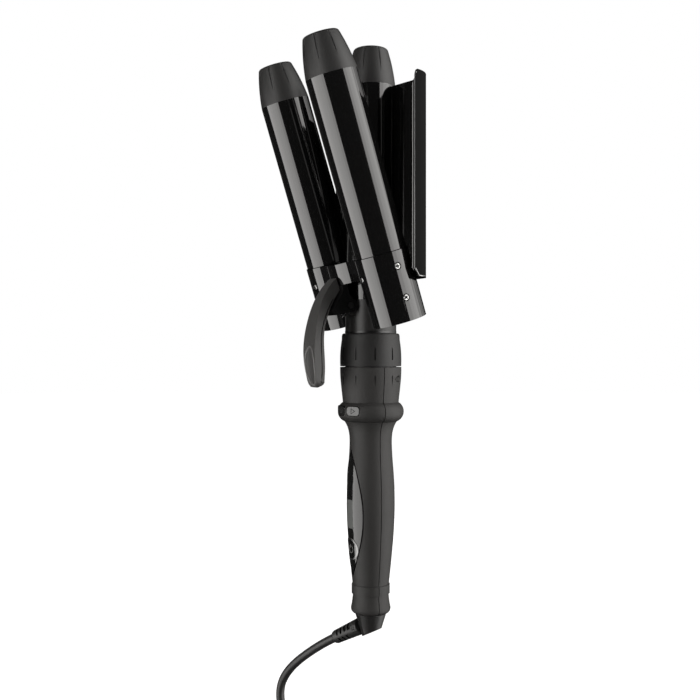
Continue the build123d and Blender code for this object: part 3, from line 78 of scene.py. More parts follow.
# %% Camera
VIEW_TURN = radians(65)
FOCAL_PIXELS, PICTURE_PIXELS = 1010, 700
SENSOR_WIDTH = 36  # millimetres
CAMERA_BACK, CAMERA_LEFT, CAMERA_HEIGHT = 0.673, 0.0138, 0.1  # metres
ahead = Vector((-sin(VIEW_TURN), cos(VIEW_TURN), 0))
across = Vector((cos(VIEW_TURN), sin(VIEW_TURN), 0))
camera_data = bpy.data.cameras.new("camera")
camera_data.sensor_width = SENSOR_WIDTH
camera_data.lens = SENSOR_WIDTH * FOCAL_PIXELS / PICTURE_PIXELS
camera_data.clip_start, camera_data.clip_end = 0.02, 50
camera = bpy.data.objects.new("camera", camera_data)
camera.location = -CAMERA_BACK * ahead - CAMERA_LEFT * across + Vector((0, 0, CAMERA_HEIGHT))
camera.rotation_euler = ahead.to_track_quat("-Z", "Y").to_euler()
bpy.context.scene.collection.objects.link(camera)
bpy.context.scene.camera = camera
bpy.context.scene.view_settings.view_transform = "Standard"
print("lens", round(camera_data.lens, 2), "mm")

# %% [markdown]
# ## World and floor
# The backdrop is a plain white that only the camera and clear pieces see. The object itself mirrors a nearly
# black room, as in a studio lined with black cloth, because on gloss black every pale wall would show. The
# floor is grey, for its shadow, and glows towards white where the camera sees it, most of all far off.

# %% World
ROOM_STRENGTH = 0.03
world = bpy.data.worlds.new("studio")
bpy.context.scene.world = world
world.use_nodes = True
w_nodes, w_links = world.node_tree.nodes, world.node_tree.links
w_nodes.clear()
w_out = w_nodes.new("ShaderNodeOutputWorld")
w_path = w_nodes.new("ShaderNodeLightPath")
w_white = w_nodes.new("ShaderNodeBackground")
w_white.inputs["Color"].default_value = (1, 1, 1, 1)
w_room = w_nodes.new("ShaderNodeBackground")
w_room.inputs["Color"].default_value = (1, 0.985, 0.97, 1)
w_room.inputs["Strength"].default_value = ROOM_STRENGTH
w_mix = w_nodes.new("ShaderNodeMixShader")
w_seen = w_nodes.new("ShaderNodeMath")
w_seen.operation = "MAXIMUM"
w_links.new(w_path.outputs["Is Camera Ray"], w_seen.inputs[0])
w_links.new(w_path.outputs["Is Transmission Ray"], w_seen.inputs[1])
w_links.new(w_seen.outputs[0], w_mix.inputs["Fac"])
w_links.new(w_room.outputs[0], w_mix.inputs[1])
w_links.new(w_white.outputs[0], w_mix.inputs[2])
w_links.new(w_mix.outputs[0], w_out.inputs["Surface"])
print("world", len(w_nodes), "nodes")


# %% Floor
def from_bmesh(name, shape):
    """Turn a bmesh into an object of the scene."""
    mesh = bpy.data.meshes.new(name)
    shape.to_mesh(mesh)
    shape.free()
    for face in mesh.polygons:
        face.use_smooth = True
    piece = bpy.data.objects.new(name, mesh)
    bpy.context.scene.collection.objects.link(piece)
    return piece


FLOOR_RADIUS, FLOOR_GAP = 6.0, 0.0003  # metres; the gap keeps the coil's underside clear of the floor
GLOW_NEAR, GLOW_FAR = 0.35, 1.0  # metres from the object, where the glow's rise starts and ends
GLOW_LOW, GLOW_FULL = 0.75, 1.0

floor_shape = bmesh.new()
bmesh.ops.create_circle(floor_shape, cap_ends=True, segments=96, radius=FLOOR_RADIUS)
bmesh.ops.translate(floor_shape, verts=floor_shape.verts, vec=(0, 0, cad_box[0][2] - FLOOR_GAP))
floor = from_bmesh("floor", floor_shape)
floor.visible_glossy = False  # gloss surfaces mirror the whole height of a soft box, also below the floor
floor_paint = bpy.data.materials.new("studio_floor")
floor_paint.use_nodes = True
f_nodes, f_links = floor_paint.node_tree.nodes, floor_paint.node_tree.links
f_surface = f_nodes["Principled BSDF"]
f_surface.inputs["Base Color"].default_value = (0.7, 0.7, 0.7, 1)
f_surface.inputs["Roughness"].default_value = 0.9
f_surface.inputs["Specular IOR Level"].default_value = 0.1
f_path = f_nodes.new("ShaderNodeLightPath")
f_glow = f_nodes.new("ShaderNodeEmission")
f_place = f_nodes.new("ShaderNodeTexCoord")
f_far = f_nodes.new("ShaderNodeVectorMath")
f_far.operation = "LENGTH"
f_fade = f_nodes.new("ShaderNodeMapRange")
for socket, value in (
    ("From Min", GLOW_NEAR),
    ("From Max", GLOW_FAR),
    ("To Min", GLOW_LOW),
    ("To Max", GLOW_FULL),
):
    f_fade.inputs[socket].default_value = value
f_links.new(f_place.outputs["Object"], f_far.inputs[0])
f_links.new(f_far.outputs["Value"], f_fade.inputs["Value"])
f_links.new(f_fade.outputs["Result"], f_glow.inputs["Strength"])
f_dark = f_nodes.new("ShaderNodeEmission")
f_dark.inputs["Strength"].default_value = 0.0
f_mix = f_nodes.new("ShaderNodeMixShader")
f_add = f_nodes.new("ShaderNodeAddShader")
f_links.new(f_path.outputs["Is Camera Ray"], f_mix.inputs["Fac"])
f_links.new(f_dark.outputs[0], f_mix.inputs[1])
f_links.new(f_glow.outputs[0], f_mix.inputs[2])
f_links.new(f_surface.outputs[0], f_add.inputs[0])
f_links.new(f_mix.outputs[0], f_add.inputs[1])
f_links.new(f_add.outputs[0], f_nodes["Material Output"].inputs["Surface"])
floor.data.materials.append(floor_paint)
print("floor at", round(cad_box[0][2] - FLOOR_GAP, 4), "m")

# %% [markdown]
# ## Lamps
# Gloss black shows its lamps and nothing else, so their shape matters more than their power. Rows of tall
# soft boxes stand left and right of the camera, and a cylinder mirrors each row as one straight stripe. The
# row furthest to the left is low, so that the flat wing stays black. A last lamp behind the object lights its
# back softly, and nothing mirrors it.

# %% Lamps
LAMP_COLOUR = (1, 0.985, 0.965)


def soft_box(name, left_edge, right_edge, strengths, distance=1.0, low=-0.9, high=1.3, mirrored=True):
    """A row of tall lamps between two directions, in degrees to the right of the camera."""
    half = radians((right_edge - left_edge) / len(strengths) / 2)
    for place, strength in enumerate(strengths):
        middle = radians(left_edge) + half * (2 * place + 1)
        away = -ahead * cos(middle) + across * sin(middle)
        lamp = bpy.data.lights.new(f"{name}_{place}", "AREA")
        lamp.shape = "RECTANGLE"
        lamp.size, lamp.size_y = 2 * distance * tan(half), high - low
        lamp.energy = strength * lamp.size * lamp.size_y
        lamp.color = LAMP_COLOUR
        stand = bpy.data.objects.new(lamp.name, lamp)
        stand.visible_glossy = mirrored
        stand.location = away * distance + Vector((0, 0, (low + high) / 2))
        stand.rotation_euler = (-away).to_track_quat("-Z", "Y").to_euler()
        bpy.context.scene.collection.objects.link(stand)


soft_box("left_low", -97, -56, (10.4, 10.0, 9.5), high=0.24)
soft_box("left_box", -56, -35, (8.9, 7.5))
soft_box("right_box", 42, 140, (8.0, 9.8, 10.4, 6.5, 3.0, 1.5))
soft_box("back_fill", 155, 215, (3.0,), distance=1.3, mirrored=False)

# %% [markdown]
# ## Finishes
# Moulded plastic is never quite even: a fine grain breaks up its shine and its roughness drifts a little. One
# node group makes both, and each finish sets its own scale and depth. Bare metal and gloss coatings have the
# same grain, only much shallower.

# %% Grain group
DRIFT_SCALE = 60  # waves per metre of the slow change in roughness
GRAIN_HEIGHT = 0.05 * MM


def grain_group():
    """Fine grain of a moulded or coated surface: an uneven roughness and a slightly bumpy normal."""
    group = bpy.data.node_groups.new("moulded_grain", "ShaderNodeTree")
    sockets = group.interface
    for name, value in (("Scale", 900.0), ("Depth", 0.1), ("Roughness", 0.4), ("Spread", 0.05)):
        socket = sockets.new_socket(name=name, in_out="INPUT", socket_type="NodeSocketFloat")
        socket.default_value = value
    sockets.new_socket(name="Roughness", in_out="OUTPUT", socket_type="NodeSocketFloat")
    sockets.new_socket(name="Normal", in_out="OUTPUT", socket_type="NodeSocketVector")
    inside, wires = group.nodes, group.links
    entry, leave = inside.new("NodeGroupInput"), inside.new("NodeGroupOutput")
    place = inside.new("ShaderNodeTexCoord")
    fine, drift = inside.new("ShaderNodeTexNoise"), inside.new("ShaderNodeTexNoise")
    fine.inputs["Detail"].default_value = 3
    drift.inputs["Scale"].default_value = DRIFT_SCALE
    drift.inputs["Detail"].default_value = 4
    bump = inside.new("ShaderNodeBump")
    centred, spread, total = (inside.new("ShaderNodeMath") for _ in range(3))
    bump.inputs["Distance"].default_value = GRAIN_HEIGHT
    centred.operation, centred.inputs[1].default_value = "SUBTRACT", 0.5
    spread.operation, total.operation = "MULTIPLY", "ADD"
    for source, target in (
        (place.outputs["Object"], fine.inputs["Vector"]),
        (place.outputs["Object"], drift.inputs["Vector"]),
        (entry.outputs["Scale"], fine.inputs["Scale"]),
        (entry.outputs["Depth"], bump.inputs["Strength"]),
        (fine.outputs["Fac"], bump.inputs["Height"]),
        (drift.outputs["Fac"], centred.inputs[0]),
        (centred.outputs[0], spread.inputs[0]),
        (entry.outputs["Spread"], spread.inputs[1]),
        (spread.outputs[0], total.inputs[0]),
        (entry.outputs["Roughness"], total.inputs[1]),
        (total.outputs[0], leave.inputs["Roughness"]),
        (bump.outputs["Normal"], leave.inputs["Normal"]),
    ):
        wires.new(source, target)
    return group


GRAIN = grain_group()
print("grain", len(GRAIN.nodes), "nodes")


# %% Finish helper
def finish(name, colour, roughness, scale=900.0, depth=0.1, spread=0.05, **settings):
    """A material with the grain group's roughness and normal. Further settings name its own sockets."""
    paint = bpy.data.materials.new(name)
    paint.use_nodes = True
    tree = paint.node_tree
    surface = tree.nodes["Principled BSDF"]
    grain = tree.nodes.new("ShaderNodeGroup")
    grain.node_tree = GRAIN
    for socket, value in (("Scale", scale), ("Depth", depth), ("Roughness", roughness), ("Spread", spread)):
        grain.inputs[socket].default_value = value
    surface.inputs["Base Color"].default_value = (*colour, 1)
    tree.links.new(grain.outputs["Roughness"], surface.inputs["Roughness"])
    tree.links.new(grain.outputs["Normal"], surface.inputs["Normal"])
    for socket, value in settings.items():
        surface.inputs[socket.replace("_", " ")].default_value = value
    return paint


# %% Paints
soft_touch = finish("soft_touch", (0.026, 0.025, 0.024), 0.6, scale=1400, depth=0.25, spread=0.08)
satin_black = finish("satin_black", (0.018, 0.0175, 0.017), 0.36, scale=1200, depth=0.1)
lever_black = finish("lever_black", (0.07, 0.0688, 0.0672), 0.42, scale=1300, depth=0.2)
# A lighter grey for the edge of a rim or bevel: painted highlight.
highlight_grey = finish("highlight_grey", (0.17, 0.167, 0.164), 0.4, scale=1300, depth=0.2)
bracket_black = finish(
    "bracket_black", (0.004, 0.004, 0.004), 0.5, scale=1200, depth=0.1, Specular_IOR_Level=0.15
)
cover_black = finish(
    "cover_black", (0.0055, 0.0055, 0.0054), 0.36, scale=1200, depth=0.04, Specular_IOR_Level=0.02
)
collar_black = finish("collar_black", (0.014, 0.0137, 0.0134), 0.55, scale=1400, depth=0.25, spread=0.08)
swivel_black = finish("swivel_black", (0.022, 0.0217, 0.0212), 0.28, scale=1200, depth=0.06)
tip_black = finish("tip_black", (0.03, 0.0295, 0.029), 0.45, scale=1100, depth=0.15)
gloss_black = finish("gloss_black", (0.004, 0.004, 0.004), 0.06, scale=300, depth=0.01, spread=0.02, IOR=1.75)
ceramic_black = finish(
    "ceramic_black", (0.004, 0.004, 0.004), 0.07, scale=500, depth=0.01, spread=0.02, IOR=1.75
)
panel_black = finish("panel_black", (0.008, 0.008, 0.008), 0.1, scale=400, depth=0.01, spread=0.02, IOR=1.6)
window_grey = finish("window_grey", (0.16, 0.165, 0.16), 0.12, scale=400, depth=0.01, spread=0.02)
key_black = finish("key_black", (0.02, 0.02, 0.02), 0.22, scale=900, depth=0.03, IOR=1.7)
mark_grey = finish("mark_grey", (0.05, 0.05, 0.05), 0.7, scale=900, depth=0.1)
print_grey = finish("print_grey", (0.22, 0.22, 0.215), 0.5, scale=900, depth=0.1)
# A bright metal for rounded edges and lip beads: painted highlight.
edge_highlight_metal = finish("edge_highlight_metal", (0.3, 0.3, 0.3), 0.2, scale=900, depth=0.02, Metallic=1.0)
bezel_grey = finish("bezel_grey", (0.2, 0.2, 0.2), 0.3, scale=700, depth=0.02, Metallic=1.0)
bright_steel = finish("bright_steel", (0.7, 0.7, 0.69), 0.3, scale=900, depth=0.05, Metallic=1.0)
trim_grey = finish("trim_grey", (0.07, 0.07, 0.07), 0.35, scale=700, depth=0.02, Metallic=1.0)
dark_steel = finish("dark_steel", (0.05, 0.05, 0.05), 0.35, scale=900, depth=0.05, Metallic=1.0)
# Dark for the seams and gaps, and painted shade in the relief's slots and in the screws' crosses and holes.
seam_and_shade_black = finish(
    "seam_and_shade_black", (0.002, 0.002, 0.002), 0.8, scale=900, depth=0.1, Specular_IOR_Level=0.05
)
cord_rubber = finish("cord_rubber", (0.034, 0.0334, 0.0326), 0.4, scale=900, depth=0.12)
board_green = finish("board_green", (0.01, 0.06, 0.025), 0.4)
lcd_dark = finish("lcd_dark", (0.03, 0.035, 0.04), 0.3)
nickel = finish("nickel", (0.7, 0.69, 0.66), 0.25, Metallic=1.0)
print("materials", len(bpy.data.materials))

# %% Paint the CAD pieces
PAINTS = {
    "soft_touch": soft_touch,
    "satin_black": satin_black,
    "tip_black": tip_black,
    "gloss_black": gloss_black,
    "heated_black": ceramic_black,
    "lcd_glass": window_grey,
    "lcd": lcd_dark,
    "board": board_green,
    "chrome_trim": bezel_grey,
    "steel": bright_steel,
    "heater_block": bright_steel,
    "cord_black": cord_rubber,
    "plated_brass": nickel,
}
SLOTS = {entry["node"]: entry["material_slot"] for entry in frame["record"]["subparts"]}


def paint(piece, material):
    """Give the whole piece one material."""
    piece.data.materials.clear()
    piece.data.materials.append(material)


OWN_PAINTS = {
    "clamp_bracket": bracket_black,
    "rear_cover": cover_black,
    "swivel_body": swivel_black,
    "lever": lever_black,
    "lever_cover": lever_black,
    "display_panel": panel_black,
    "key_left": key_black,
    "key_middle": key_black,
    "key_right": key_black,
    "neck_trim_ring": trim_grey,
    "collar_ring": collar_black,
    "hinge_pin": dark_steel,
}
FINISH = {name: OWN_PAINTS.get(name, PAINTS[SLOTS[name]]) for name in nodes}
for name, node in nodes.items():
    paint(node, FINISH[name])
print("painted", len(nodes), "nodes")

# %% [markdown]
# ## Rounded edges
# No moulded edge is sharp: each has a small radius, and on black plastic that radius is what the eye reads,
# as a thin bright line. A CAD mesh arrives as loose triangles, so a copy is merged, its flat faces are
# joined, and a Bevel modifier rounds what is still an edge. The copy then stands for the CAD piece.

# %% Helpers for pieces that stand for CAD nodes
BODY = {node: body for body, members in frame["record"]["behaviour"]["bodies"].items() for node in members}
DOUBLES, FLAT = 0.001 * MM, radians(0.5)


def merged_copy(name):
    """A bmesh of a CAD piece with its doubles merged and its flat faces joined."""
    shape = bmesh.new()
    shape.from_mesh(nodes[name].data)
    bmesh.ops.remove_doubles(shape, verts=shape.verts, dist=DOUBLES)
    bmesh.ops.dissolve_limit(shape, angle_limit=FLAT, verts=shape.verts, edges=shape.edges)
    return shape


def stand_for(piece, *names):
    """Ride with the named CAD pieces and take their place and finish."""
    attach(piece, BODY[names[0]])
    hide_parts(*names)
    if not piece.data.materials:
        paint(piece, FINISH[names[0]])


def even_light(piece):
    """Let the large faces of a piece keep their own light."""
    piece.modifiers.new("even_light", "WEIGHTED_NORMAL").keep_sharp = True


def round_edges(piece, width, material=-1):
    """Round every sharp edge by a width in millimetres, in one of the piece's materials if one is given."""
    edge = piece.modifiers.new("rounded_edges", "BEVEL")
    edge.width, edge.segments = width * MM, 2
    edge.limit_method, edge.angle_limit = "ANGLE", radians(32)
    edge.material = material
    even_light(piece)


# %% [markdown]
# ## Softened pieces
# Each piece below gets its own edge width, in millimetres. Two kinds are reshaped first. The CAD's keys
# follow the round handle, but real key caps are flat, so the outer points of each are pressed into one plane.
# The power button's hidden back is narrowed a little, to stay clear of the shell when it is pressed.

# %% Key caps and power button
KEY_ANGLES = {"key_left": -31, "key_middle": 0, "key_right": 31}
KEY_SIDES, KEY_FACE = 20.0, 21.5  # how far out a cap's sides end and its face lies, in millimetres
POWER_Z = -31.1
POWER_RIM, POWER_DEPTH, POWER_SHARE = 5.0, 0.9, 0.95


def flat_key(shape, angle):
    """Press the outer points of a key into one plane."""
    outward = Vector((sin(radians(angle)), -cos(radians(angle)), 0))
    for point in shape.verts:
        if point.co.dot(outward) > KEY_SIDES * MM:
            point.co += outward * (KEY_FACE * MM - point.co.dot(outward))
    bmesh.ops.dissolve_limit(shape, angle_limit=FLAT, verts=shape.verts, edges=shape.edges)


def power_face(x, up):
    """How far forward the power button's face lies, in millimetres from the handle's axis."""
    return -14.65 - 0.0886 * up + 0.0344 * x * x


def narrow_back(shape):
    """Narrow the power button behind its face."""
    for point in shape.verts:
        x, y, up = point.co.x / MM, point.co.y / MM, point.co.z / MM - POWER_Z
        if y > power_face(x, up) + POWER_DEPTH and x * x + up * up > POWER_RIM * POWER_RIM:
            point.co.x *= POWER_SHARE
            point.co.z = (POWER_Z + POWER_SHARE * up) * MM


print("keys", len(KEY_ANGLES))

# %% Softened pieces
EDGE_WIDTHS = {
    "clamp_housing": 0.4,
    "lever": 0.7,
    "lever_cover": 0.7,
    "clamp_bracket": 0.4,
    "swivel_body": 0.6,
    "plug_body": 0.6,
    "key_left": 0.35,
    "key_middle": 0.35,
    "key_right": 0.35,
    "power_button": 0.2,
    "power_bezel": 0.25,
    "display_panel": 0.25,
    "collar_ring": 0.25,
}
EDGE_PAINTS = {"swivel_body": (swivel_black, highlight_grey)}  # a piece's own finish, and the lighter grey of its edges, a painted edge highlight

for name, width in EDGE_WIDTHS.items():
    shape = merged_copy(name)
    if name in KEY_ANGLES:
        flat_key(shape, KEY_ANGLES[name])
    elif name == "power_button":
        narrow_back(shape)
    softened = from_bmesh(f"soft_{name}", shape)
    for material in EDGE_PAINTS.get(name, ()):
        softened.data.materials.append(material)
    round_edges(softened, width, material=1 if name in EDGE_PAINTS else -1)
    stand_for(softened, name)
    print(softened.name, len(softened.data.polygons), "faces")

# %% [markdown]
# ## Beads, seams and marks
# Some edges, gaps and printed marks are too fine for the CAD model: the rim round the thumb dish, the dark
# gap round the display, the signs on the keys. Paint would need a mask for each. A thin round bead, half sunk
# in the surface, is a real shape instead: it catches the light as an edge does, and is there from every side.
# A bead is one circle repeated along a path, with the circles bridged one to the next.


# %% Beads
def bead(shape, path, radius, closed=False, sides=10):
    """A round bead along a path, both in millimetres."""
    points = [Vector(point) * MM for point in path]
    rings = []
    for place, here in enumerate(points):
        before = points[place - 1] if closed or place else here
        after = points[(place + 1) % len(points)] if closed or place < len(points) - 1 else here
        facing = Matrix.Translation(here) @ (after - before).to_track_quat("Z", "Y").to_matrix().to_4x4()
        ring = bmesh.ops.create_circle(
            shape, cap_ends=False, segments=sides, radius=radius * MM, matrix=facing
        )
        rings.append(list({edge for point in ring["verts"] for edge in point.link_edges}))
    for first, second in zip(rings, rings[1:] + (rings[:1] if closed else [])):
        bmesh.ops.bridge_loops(shape, edges=first + second)
    if not closed:
        bmesh.ops.holes_fill(shape, edges=rings[0] + rings[-1], sides=0)
    bmesh.ops.recalc_face_normals(shape, faces=shape.faces)


def bead_piece(name, paths, radius, material, rides_with, closed=False):
    """Beads along one or more paths as one piece that rides with a CAD piece's body."""
    shape = bmesh.new()
    for path in paths:
        bead(shape, path, radius, closed)
    piece = from_bmesh(name, shape)
    paint(piece, material)
    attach(piece, BODY[rides_with])
    print(name, len(piece.data.polygons), "faces")
    return piece


# %% Lever thumb rim
DISH_Z, DISH_HALF_WIDTH, DISH_HALF_HEIGHT = 89.6, 7.6, 12.4
RIM_R, RIM_SUNK, RIM_POINTS = 0.8, 0.25, 48


def lever_face(x, z):
    """How far forward the lever's face lies, in millimetres from the handle's axis."""
    return max(-41.0 - 0.112 * (z - 76) - 0.0245 * x * x, -44.55)


def thumb_point(turn):
    """A point of the oval round the lever's thumb dish."""
    x, z = DISH_HALF_WIDTH * cos(turn), DISH_Z + DISH_HALF_HEIGHT * sin(turn)
    return x, lever_face(x, z) + RIM_SUNK, z


thumb_oval = [thumb_point(2 * pi * i / RIM_POINTS) for i in range(RIM_POINTS)]
# the rim's lighter grey is a painted highlight on the dish's edge
bead_piece("thumb_rim", [thumb_oval], RIM_R, highlight_grey, "lever", closed=True)

# %% Key marks
KEY_Z = 60.2
KEY_MARK_R = 0.22


def key_point(angle, across_key, up_key):
    """A point on a key's flat face, from its middle."""
    turn = radians(angle)
    x = KEY_FACE * sin(turn) + across_key * cos(turn)
    y = -KEY_FACE * cos(turn) + across_key * sin(turn)
    return x, y, KEY_Z + up_key


for key, corners in (  # millimetres across and up from the middle of the key
    ("key_left", ((1.4, 1.7), (1.4, -1.7), (-1.4, 0))),
    ("key_middle", ((-1.5, -1.2), (1.5, -1.2), (0, 1.6))),
    ("key_right", ((-1.4, 1.7), (-1.4, -1.7), (1.4, 0))),
):
    triangle = [key_point(KEY_ANGLES[key], *corner) for corner in corners]
    strokes = [[triangle[i], triangle[(i + 1) % 3]] for i in range(3)]
    bead_piece(f"{key}_mark", strokes, KEY_MARK_R, mark_grey, key)


# %% Where a surface lies
def surface(tree, start, along):
    """Where a ray from a point in millimetres first meets a shape, in millimetres."""
    spot = tree.ray_cast(Vector(start) * MM, Vector(along))[0]
    return spot / MM if spot else None


def tree_of(name):
    """A search tree of a CAD piece's faces."""
    shape = merged_copy(name)
    tree = BVHTree.FromBMesh(shape)
    shape.free()
    return tree


TREES = {name: tree_of(name) for name in ("display_panel", "lever_cover")}
print("search trees", sorted(TREES))

# %% Panel outline
PANEL_TOP, PANEL_LOW, PANEL_HALF = 33.6, -49.0, 11.5
SIDE_STEPS = 24  # on each half of an arc
TIP_INSET, EDGE_INSET, OUTLINE_R = 0.3, 0.12, 0.3
panel_half_height, panel_middle = (PANEL_TOP - PANEL_LOW) / 2, (PANEL_TOP + PANEL_LOW) / 2
bend = (panel_half_height**2 + PANEL_HALF**2) / (2 * PANEL_HALF)  # radius of the panel's two arcs
outline = []
for side in (1, -1):
    for step in range(-SIDE_STEPS, SIDE_STEPS):
        z = side * step * (panel_half_height - TIP_INSET) / SIDE_STEPS
        x = side * (sqrt(bend**2 - z * z) - bend + PANEL_HALF - EDGE_INSET)
        outline.append(surface(TREES["display_panel"], (x, -60, panel_middle + z), (0, 1, 0)))
outline = [spot for spot in outline if spot]
bead_piece("panel_outline", [outline], OUTLINE_R, seam_and_shade_black, "display_panel", closed=True)

# %% Lever seam
SEAM_HEIGHTS = range(79, 134, 3)
INNER_X, SEAM_BACK, SEAM_SUNK, SEAM_R = 6.5, 0.3, 0.08, 0.28
seams = []
for side in (1, -1):
    seam = []
    for height in SEAM_HEIGHTS:
        inner = surface(TREES["lever_cover"], (side * INNER_X, -90, height), (0, 1, 0))
        if not inner:
            continue
        edge = surface(TREES["lever_cover"], (side * 40, inner.y + SEAM_BACK, height), (-side, 0, 0))
        if edge:
            seam.append((edge.x - side * SEAM_SUNK, inner.y, height))
    seams.append(seam)
bead_piece("lever_seam", seams, SEAM_R, seam_and_shade_black, "lever_cover")

# %% Power mark
SIGN_R, SIGN_LINE_R, SIGN_SUNK = 2.7, 0.28, 0.1
SIGN_ARC = [radians(turn) for turn in range(40, 325, 15)]  # open at the top, where the bar stands


def power_point(x, up):
    """A point on the power button's face, from its middle."""
    return x, power_face(x, up) + SIGN_SUNK, POWER_Z + up


arc = [power_point(SIGN_R * sin(turn), SIGN_R * cos(turn)) for turn in SIGN_ARC]
bar = [power_point(0, 0.7 + 0.6 * i) for i in range(5)]
bead_piece("power_mark", [arc, bar], SIGN_LINE_R, print_grey, "power_button")

# %% [markdown]
# ## Waving plate and rear cover
# The plate's wings end in a lip that hooks round the outer barrels. The plate's own corners are cut back, so
# that only the cover's rounded lip shows at the top and bottom. A bisect plane takes each corner off. The
# bevels of the plate and the cover get a bright metal of their own: a painted highlight along the edges.

# %% Plate
COVER_TOP, COVER_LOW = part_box("rear_cover")[1][2] / MM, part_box("rear_cover")[0][2] / MM
TOP_CUT, LOW_CUT = 9.5, 5.5  # how far inside the cover's ends the cuts cross y = 0
TOP_NORMAL, LOW_NORMAL = (0, -0.86, 0.51), (0, -0.78, -0.62)
WING_X = 46  # the wings' outer parts lie further out than this
PLATE_EDGE = 0.4


def cut_corner(shape, height, normal):
    """Take off what lies beyond a plane that crosses y = 0 at a height, on the wings' outer parts."""
    wing = [face for face in shape.faces if abs(face.calc_center_median().x) > WING_X * MM]
    edges = list({edge for face in wing for edge in face.edges})
    points = list({point for face in wing for point in face.verts})
    cut = bmesh.ops.bisect_plane(
        shape,
        geom=wing + edges + points,
        dist=0.5 * DOUBLES,
        plane_co=(0, 0, height * MM),
        plane_no=normal,
        clear_outer=True,
    )
    rims = [item for item in cut["geom_cut"] if isinstance(item, bmesh.types.BMEdge)]
    bmesh.ops.holes_fill(shape, edges=rims, sides=0)


plate_shape = merged_copy("waver_plate")
cut_corner(plate_shape, COVER_TOP - TOP_CUT, TOP_NORMAL)
cut_corner(plate_shape, COVER_LOW + LOW_CUT, LOW_NORMAL)
plate = from_bmesh("soft_waver_plate", plate_shape)
# the bevels take the bright metal, a painted highlight
for material in (ceramic_black, edge_highlight_metal):
    plate.data.materials.append(material)
round_edges(plate, PLATE_EDGE, material=1)
stand_for(plate, "waver_plate")
print("plate", len(plate.data.polygons), "faces")

# %% Rear cover
LIP_MOVE, LIP_BACK_Y, LIP_DEPTH = 0.6 * MM, 4.2 * MM, 3.0 * MM  # the lip's front moves back, its back stays
LIP_FROM_X, COVER_EDGE = 50, 0.35
cover_shape = merged_copy("rear_cover")
for point in cover_shape.verts:
    if abs(point.co.x) > LIP_FROM_X * MM:
        share = min(1.0, max(0.0, (LIP_BACK_Y - point.co.y) / LIP_DEPTH))
        point.co.y += LIP_MOVE * share
cover = from_bmesh("soft_rear_cover", cover_shape)
# the bevels take the bright metal, a painted highlight
for material in (cover_black, edge_highlight_metal):
    cover.data.materials.append(material)
round_edges(cover, COVER_EDGE, material=1)
stand_for(cover, "rear_cover")
print("cover", len(cover.data.polygons), "faces")

# %% Lip edge
LIP_X, LIP_BEAD_R = 57.75, 0.5
LIP_LINE = ((2.9, 271.7), (2.3, 270.9), (2.0, 269.8), (2.0, 150.9), (4.8, 146.0), (9.0, 145.8))
lips = [[(side * LIP_X, y, z) for y, z in LIP_LINE] for side in (1, -1)]
# the lip beads are in the bright metal, a painted highlight along the lip
bead_piece("lip_beads", lips, LIP_BEAD_R, edge_highlight_metal, "rear_cover")

# %% [markdown]
# ## Screws
# Each screw is a plated pan head with a cross recess, a little smaller than its counterbore, so a dark ring
# shows round it; the cross and the hole's lining are painted shade. The head starts as one ring of points;
# extruding and scaling the ring makes the dome, and a bridge joins it to the outline of the cross, which is
# then pushed down.


# %% Screw shape
def push_ring(shape, edges, up, scale):
    """Extrude a loop of edges along Z, scale it about the axis, and return the new loop."""
    made = bmesh.ops.extrude_edge_only(shape, edges=edges)["geom"]
    points = [item for item in made if isinstance(item, bmesh.types.BMVert)]
    bmesh.ops.scale(shape, verts=points, vec=(scale, scale, 1))
    bmesh.ops.translate(shape, verts=points, vec=(0, 0, up))
    new_edges = [item for item in made if isinstance(item, bmesh.types.BMEdge)]
    return [edge for edge in new_edges if all(point in points for point in edge.verts)]


SCREW_SIDES = 32


def screw_shape(head_r, head_height, shank_r, shank_length, hole_r):
    """A cross-head screw standing on the origin, in metres.

    Its cross and the lining of its hole are the second material, painted shade. The heights of the dome's
    rings and the size of the cross are shares of the head's own size.
    """
    shape = bmesh.new()
    lining = bmesh.ops.create_circle(shape, cap_ends=True, segments=SCREW_SIDES, radius=hole_r)["verts"]
    rim = list({edge for point in lining for edge in point.link_edges})
    push_ring(shape, rim, 0.85 * head_height, 1.0)
    for face in shape.faces:
        face.material_index = 1
    foot = bmesh.ops.create_circle(shape, cap_ends=False, segments=SCREW_SIDES, radius=head_r)["verts"]
    foot_edges = list({edge for point in foot for edge in point.link_edges})
    side = push_ring(shape, foot_edges, 0.7 * head_height, 1.0)
    shoulder = push_ring(shape, side, 0.2 * head_height, 0.94)
    crown = push_ring(shape, shoulder, 0.1 * head_height, 0.9)
    arm, half = 0.76 * head_r, 0.24 * head_r
    corners = []
    for quarter in range(4):
        turn = Matrix.Rotation(quarter * pi / 2, 3, "Z")
        for x, y in ((arm, -half), (arm, half), (half, half)):
            corners.append(shape.verts.new(turn @ Vector((x, y, head_height))))
    cross = [shape.edges.new(pair) for pair in zip(corners, corners[1:] + corners[:1])]
    bmesh.ops.bridge_loops(shape, edges=crown + cross)
    outside = set(shape.faces)
    floor_loop = push_ring(shape, cross, -0.5 * head_height, 0.8)
    bmesh.ops.holes_fill(shape, edges=floor_loop, sides=0)
    for face in set(shape.faces) - outside:
        face.material_index = 1
    neck = push_ring(shape, foot_edges, 0.0, shank_r / head_r)
    end = push_ring(shape, neck, -shank_length, 1.0)
    bmesh.ops.holes_fill(shape, edges=end, sides=0)
    bmesh.ops.recalc_face_normals(shape, faces=shape.faces)
    return shape


# %% Screw sets
SHANK_R = 1.2
FIRST_CROSS, NEXT_CROSS = radians(20), radians(33)  # no two crosses stop at the same angle


